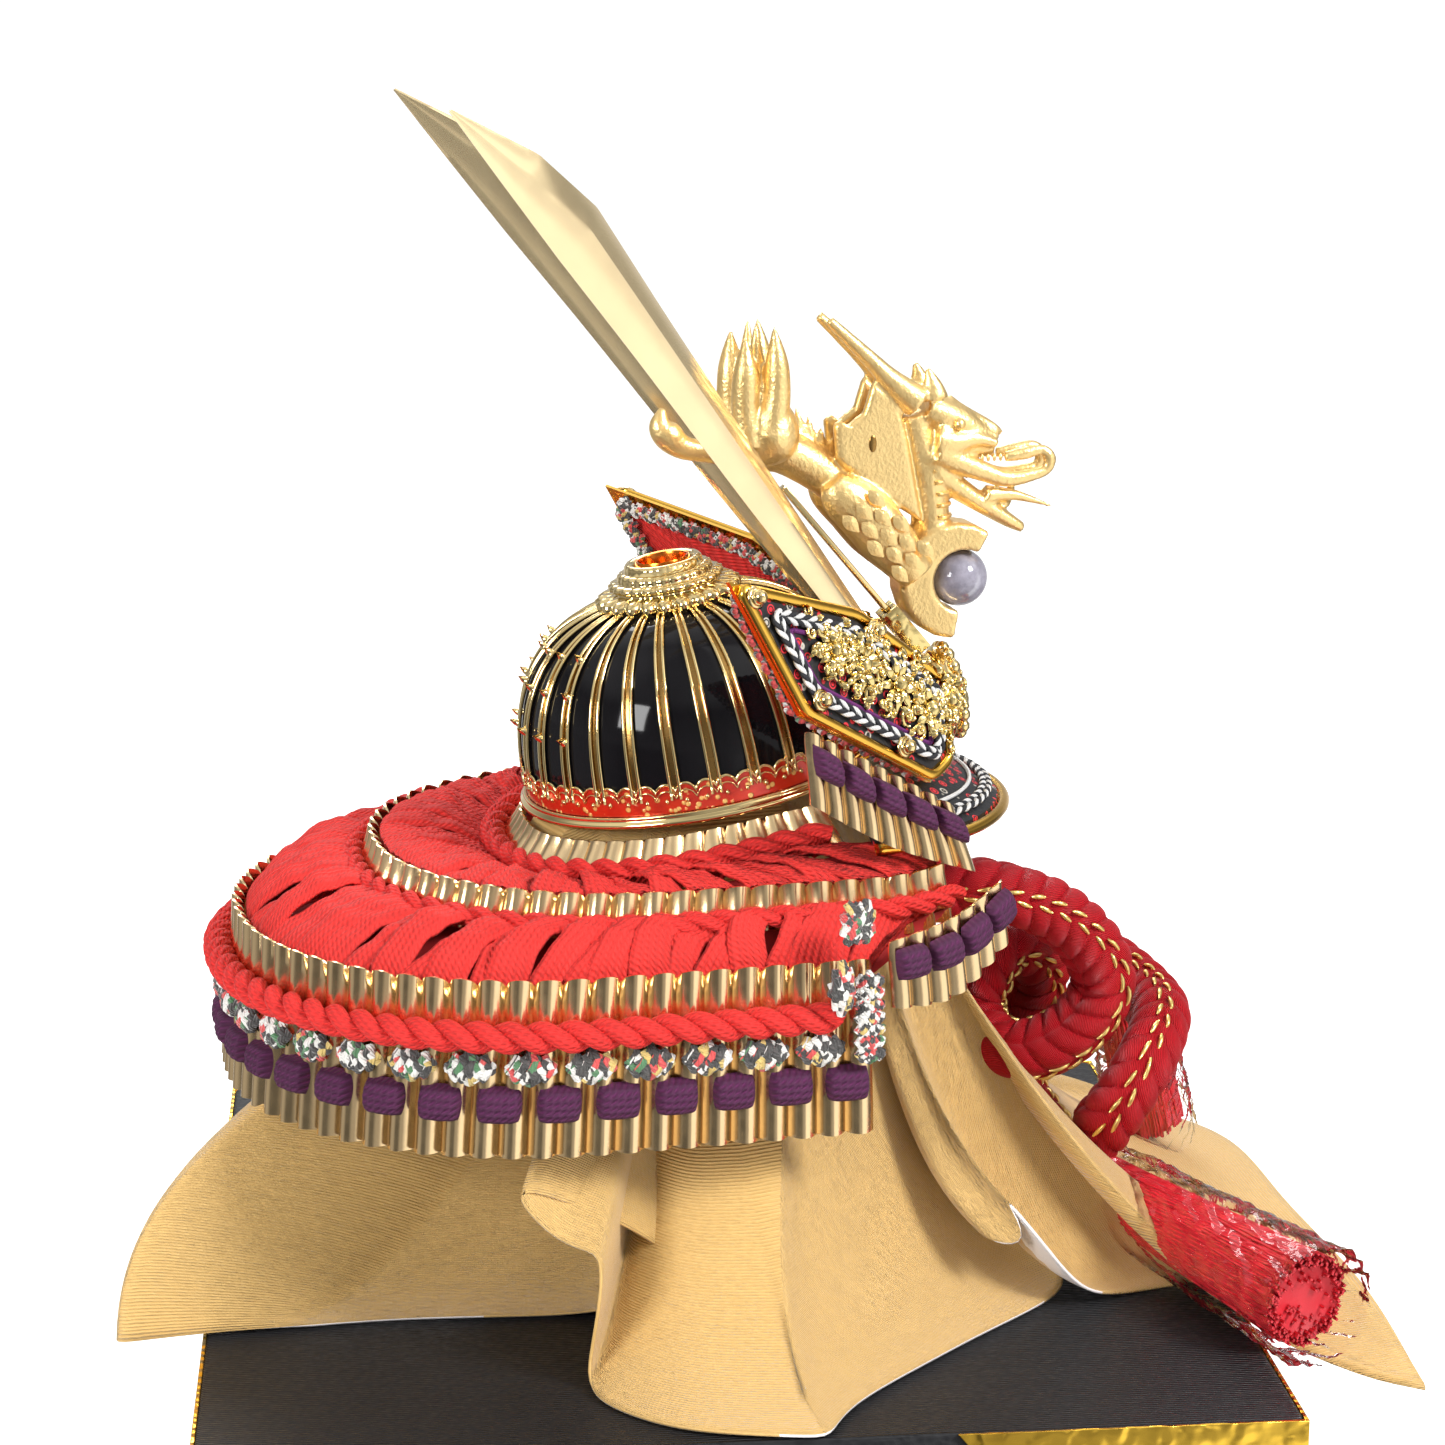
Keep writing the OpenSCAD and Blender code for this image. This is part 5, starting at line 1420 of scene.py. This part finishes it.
# ---- dragon ---------------------------------------------------------------------------------------------
# Limbs of the casting in its side view, from the middle of the ball: back and up in mm, then the radius.
# Each starts with its offset to the side and its thickness to the side over its height.
PAIRED = [
    (5.5, 1.0, [(40, 26, 3), (41, 32, 2.5), (41, 39, 2.2), (41, 45, 0.3)]),            # hind toes
    (6, 1.0, [(36.5, 28.5, 3), (35.5, 35, 2.5), (35.5, 41, 2), (36, 47, 0.2)]),
    (3, 1.0, [(38, 30.5, 3), (38.5, 38.5, 2), (38.5, 47, 0.3)]),
    (4.5, 1.0, [(39.5, 24.5, 3), (36.5, 27, 5), (36, 29.5, 4.7), (37, 32.5, 3.5)]),    # haunch
    (4.6, 0.7, [(25, 19, 2.5), (23, 16.5, 4.2), (18.5, 12.5, 5), (15, 8.5, 5), (11, 4, 4), (9, 1.5, 3.3)]),
    (3.4, 1.0, [(9, 32.5, 3), (11, 34, 2.7), (14.5, 37, 2), (18, 40.5, 1.5), (25.5, 47.5, 0.9)]),    # horn
    (3.8, 0.8, [(6, 33, 2.6), (6.5, 35.5, 1.8), (7.5, 38.5, 0.5)]),                    # ear
    (3.2, 0.8, [(5.5, 25.5, 2.6), (2, 25, 2.2), (-2, 25.5, 1.2), (-6, 24.5, 0.8)]),    # cheek
    (2.6, 0.9, [(-7.5, 22, 0.9), (-11, 22.5, 1.2), (-14.5, 23, 1), (-16, 21.5, 1.2), (-15.5, 19.5, 1),
                (-12.5, 18.5, 1.2), (-8, 18, 1.5), (-3.5, 19.5, 1.8), (1.5, 21.5, 2.2),
                (5, 23.5, 2.7)])]  # lip
MIDDLE = [    # the first is the body
    (0, 1.0, [(40.5, 25.5, 2.8), (36.5, 25, 4.2), (31.5, 23.5, 4), (22.5, 17.5, 3.7), (10.5, 6, 3.4)]),
    (0, 1.0, [(5.5, 6.5, 3.4), (5.5, 12, 3.5), (6, 17, 3.5), (7, 22, 3.5), (9, 30, 3)]),    # neck
    (0, 1.3, [(7, 31, 3), (4, 30, 3.2), (0, 28, 2.9), (-3.5, 26, 2.2), (-6.5, 25, 1.6)]),    # skull
    (0, 1.6, [(2.5, 32.5, 0.9), (0, 30.5, 1), (-5.5, 27.5, 0.8), (-7.5, 26, 0.6)]),    # brow ridge
    (0, 1.2, [(5, 26.5, 3.9), (0.5, 25, 3.3), (-3, 24, 2.4), (-6, 23.5, 1.6)]),        # snout
    (0, 1.4, [(6.5, 23, 2.8), (4.5, 19.5, 2.7), (0, 16, 2.1), (-8.5, 10.5, 1.4), (-12, 8.5, 0.9)]),    # jaw
    (-1, 1.0, [(-4.5, 15, 1.8), (-7.5, 15, 1.3), (-11, 14.5, 0.9), (-17, 12.5, 0.3)]),    # whiskers
    (1, 1.0, [(-8.5, 13, 1.4), (-10, 15.5, 0.8), (-10, 17.5, 0.2)]),
    (0, 0.9, [(33.5, 23.5, 3.2), (40.5, 24, 2.6), (46.5, 24.5, 2), (51, 25.5, 2.2), (53.5, 27.5, 2.7),
              (55, 29.5, 2.1), (54.5, 32.5, 0.6)])]                                    # tail
FINS = [(0, 0.5, [(30 - 2 * k, 26 - 1.5 * k, 1.9), (30 - 2 * k, 29 - 1.5 * k, 1.1),
                  (30.5 - 2.3 * k, 32 - 1.8 * k, 0.2)]) for k in range(4)]
MANE = [(24, 23), (24.5, 29), (23, 30), (22.5, 28), (20.5, 30), (19, 31), (17.5, 36), (17, 36.5),
        (12.5, 32.5),
        (11, 26.5), (8, 11), (10.5, 12.5), (17, 17.5), (22, 21)]
MANE_HOLE = (17.5, 25.5)
CLAW_FROM, CLAW_TO, CLAW_INNER, CLAW_OUTER, CLAW_HALF = 118, -80, 5.6, 10.5, 4.3


def from_ball(p):
    """Points of the side view (to the side, back, up) in the helmet's millimetres."""
    return np.asarray(p, float) + ORB


def slab(g, outline, u, half, soft=0.55):
    """A flat shape in the side view, thick about u, with eased edges."""
    o = np.array(outline, float)
    c = o.mean(0)
    rows = []
    for k, h in ((0.02, -half), (0.9, -half), (1.0, -half + soft), (1.0, half - soft), (0.9, half),
                 (0.02, half)):
        q = c + (o - c) * k
        rows.append(np.stack([np.full(len(q), u + h), q[:, 0], q[:, 1]], -1))
    g.grid(from_ball(rows), close_m=True)


def claw_ring(g):
    """The claw that holds the ball: an open ring with flat sides, thickest at the wrist."""
    rows = []
    for a in np.radians(np.linspace(CLAW_FROM, CLAW_TO, 12)):
        d = np.array([math.cos(a), math.sin(a)])
        out_, in_ = d * (CLAW_OUTER + 1.6 * math.cos(a)), d * CLAW_INNER
        mid = (out_ + in_) / 2
        sq = [(-CLAW_HALF + 0.8, out_), (-CLAW_HALF, out_ * 0.75 + mid * 0.25),
              (-CLAW_HALF, in_ * 0.8 + mid * 0.2),
              (-CLAW_HALF + 0.6, in_)]
        sq += [(-u, q) for u, q in reversed(sq)]
        rows.append([[u, *q] for u, q in sq])
    g.grid(from_ball(rows), close_m=True, caps=True)


g = Build()
for u, ratio, pts in [(s * u, ratio, pts) for s in (-1, 1) for u, ratio, pts in PAIRED] + MIDDLE + FINS:
    q = catmull(np.array([(u, *p) for p in pts], float), 6)
    g.tube(from_ball(q[:, :3]), np.maximum(q[:, 3], 0.15), 16, up=[1, 0, 0], flat=ratio)
for s in (-1, 1):
    slab(g, MANE, s * 3.2, 1.1)
claw_ring(g)
dragon = g.make("dragon_sculpted", [gold_cast], "dragon_crest", slot="cast_gold", replaces="dragon")
add(dragon, "REMESH", mode="VOXEL", voxel_size=0.00042, use_smooth_shade=True)
add(dragon, "SMOOTH", factor=0.5, iterations=2)

# scale bands on the neck, feathers on the shoulders, teeth, eyes, and painted shade for the hole in the mane
g = Build()
for up_ in np.arange(9.5, 23, 2.1):
    back_ = np.interp(up_, [6.5, 12, 17, 22], [5.5, 5.5, 6, 7])
    t = np.linspace(0.15, math.pi - 0.15, 14)
    g.tube(from_ball(np.stack([3.6 * np.cos(t), back_ - 3.65 * np.sin(t), np.full(14, up_)], -1)), 0.38, 6)
DOWN_ARM, ACROSS_ARM = np.array([0, -0.71, -0.71]), np.array([0, 0.71, -0.71])
for s in (-1, 1):
    for i in range(5):
        for j in range(3 - i % 2):
            along_, across_ = i / 4.6, (j - (1 if i % 2 == 0 else 0.5)) * 0.9
            c = from_ball([s * (8.05 - abs(across_) * 0.45), 21.5 - 10.5 * along_ - 2.6 * across_,
                           15.6 - 10.8 * along_ + 2.4 * across_])
            leaf(g, c, DOWN_ARM, ACROSS_ARM, np.array([s * 1.0, 0, 0]), 4.2, 1.25, 0.0, 0.9)
    for k in range(4):
        ball(g, from_ball([s * 2.4, -3.4 - 1.15 * k, 21.9]), 0.5, squash=(0.7, 0.7, 1.4), n=5, m=7)
    ball(g, from_ball([s * 3.9, 1.4, 28.4]), 1.15, n=7, m=12)
    # a flat dark gold oval on the mane: painted shade standing for the hole
    ball(g, from_ball([s * 4.25, *MANE_HOLE]), 1.0, 1, squash=(0.25, 0.75, 1.6), n=8, m=14)
g.make("dragon_details", [gold_cast, gold_shade], "dragon_crest", slot="cast_gold")

# ---- stage, light ---------------------------------------------------------------------------------
AROUND = [(0.0, 0.55), (0.045, 0.5), (0.09, 1.7), (0.22, 1.7), (0.27, 0.2), (0.36, 0.15), (0.42, 1.0),
          (0.58, 1.0),
          (0.66, 0.25), (0.74, 0.55), (0.80, 0.5), (0.86, 0.1), (0.95, 0.14), (1.0, 0.55)]
UP = [(0.0, 0.5), (0.5, 0.62), (0.6, 0.45), (0.70, 0.3), (0.78, 1.1), (0.93, 1.2), (1.0, 0.8)]


def ramp_node(t, src, stops):
    r = t.nodes.new("ShaderNodeValToRGB")
    t.links.new(src, r.inputs[0])
    e = r.color_ramp.elements
    while len(e) < len(stops):
        e.new(0.5)
    for k, (p_, c_) in enumerate(stops):
        e[k].position = p_
        e[k].color = (c_, c_, c_, 1)
    return r.outputs[0]


def around(t, vector):
    """Softboxes and dark flats standing round the set, as a brightness by direction."""
    g_ = t.nodes.new("ShaderNodeTexGradient")
    g_.gradient_type = "RADIAL"
    t.links.new(vector, g_.inputs[0])
    return ramp_node(t, g_.outputs["Fac"], AROUND)


floor_mat = bpy.data.materials.new("pale_floor")
floor_mat.use_nodes = True
ft = floor_mat.node_tree
ft.nodes.clear()
f_out = ft.nodes.new("ShaderNodeOutputMaterial")
f_co = ft.nodes.new("ShaderNodeTexCoord")
f_path = ft.nodes.new("ShaderNodeLightPath")
f_near = ft.nodes.new("ShaderNodeBsdfPrincipled")
f_near.inputs["Base Color"].default_value = (0.84, 0.85, 0.83, 1)
f_near.inputs["Roughness"].default_value = 0.7
f_near.inputs["Emission Color"].default_value = (1, 1, 1, 1)
f_near.inputs["Emission Strength"].default_value = 0.45
# to glossy rays the floor glows with the softboxes and dark flats, painted reflections; to other rays it is a
# pale floor that glows evenly
floor_reflected_softboxes = ft.nodes.new("ShaderNodeEmission")
ft.links.new(around(ft, f_co.outputs["Object"]), floor_reflected_softboxes.inputs[0])
floor_reflected_softboxes.inputs[1].default_value = 0.75
f_mix = ft.nodes.new("ShaderNodeMixShader")
ft.links.new(f_path.outputs["Is Glossy Ray"], f_mix.inputs[0])
ft.links.new(f_near.outputs[0], f_mix.inputs[1])
ft.links.new(floor_reflected_softboxes.outputs[0], f_mix.inputs[2])
ft.links.new(f_mix.outputs[0], f_out.inputs[0])
floor = mesh("floor", [(-8, -8, 0), (18, -8, 0), (18, 8, 0), (-8, 8, 0)], [[0, 1, 2, 3]], floor_mat, None,
             metres=True)
world = bpy.data.worlds.new("world")
bpy.context.scene.world = world
world.use_nodes = True
wt = world.node_tree
way = wt.nodes.new("ShaderNodeTexCoord")
part = wt.nodes.new("ShaderNodeSeparateXYZ")
lift = wt.nodes.new("ShaderNodeMapRange")
lift.inputs["From Min"].default_value = -1
wt.links.new(way.outputs["Generated"], part.inputs[0])
wt.links.new(part.outputs["Z"], lift.inputs["Value"])
both = wt.nodes.new("ShaderNodeMix")
both.data_type = "RGBA"
both.blend_type = "MULTIPLY"
both.inputs[0].default_value = 0.6
wt.links.new(ramp_node(wt, lift.outputs[0], UP), both.inputs[6])
wt.links.new(around(wt, way.outputs["Generated"]), both.inputs[7])
w_path = wt.nodes.new("ShaderNodeLightPath")
pick = wt.nodes.new("ShaderNodeMix")
pick.data_type = "RGBA"
wt.links.new(w_path.outputs["Is Camera Ray"], pick.inputs[0])
wt.links.new(both.outputs[2], pick.inputs[6])
pick.inputs[7].default_value = (1, 1, 1, 1)
wt.links.new(pick.outputs[2], wt.nodes["Background"].inputs[0])
wt.nodes["Background"].inputs[1].default_value = 1.0


def area(name, place, target, size, power, size_y=None):
    d = bpy.data.lights.new(name, "AREA")
    d.energy = power
    d.size = size
    if size_y:
        d.shape = "RECTANGLE"
        d.size_y = size_y
    o = bpy.data.objects.new(name, d)
    bpy.context.scene.collection.objects.link(o)
    o.location = place
    o.rotation_mode = "QUATERNION"
    o.rotation_quaternion = (Vector(target) - Vector(place)).to_track_quat("-Z", "Y")
    return o


area("key", (-0.55, -0.75, 0.85), (0, 0, 0.18), 0.3, 13)
area("side", (-0.7, 0.75, 0.55), (0, 0, 0.18), 0.35, 8.5)
area("back", (0.9, 0.1, 0.9), (0, 0, 0.2), 0.5, 6)
bpy.context.scene.view_settings.view_transform = "Standard"
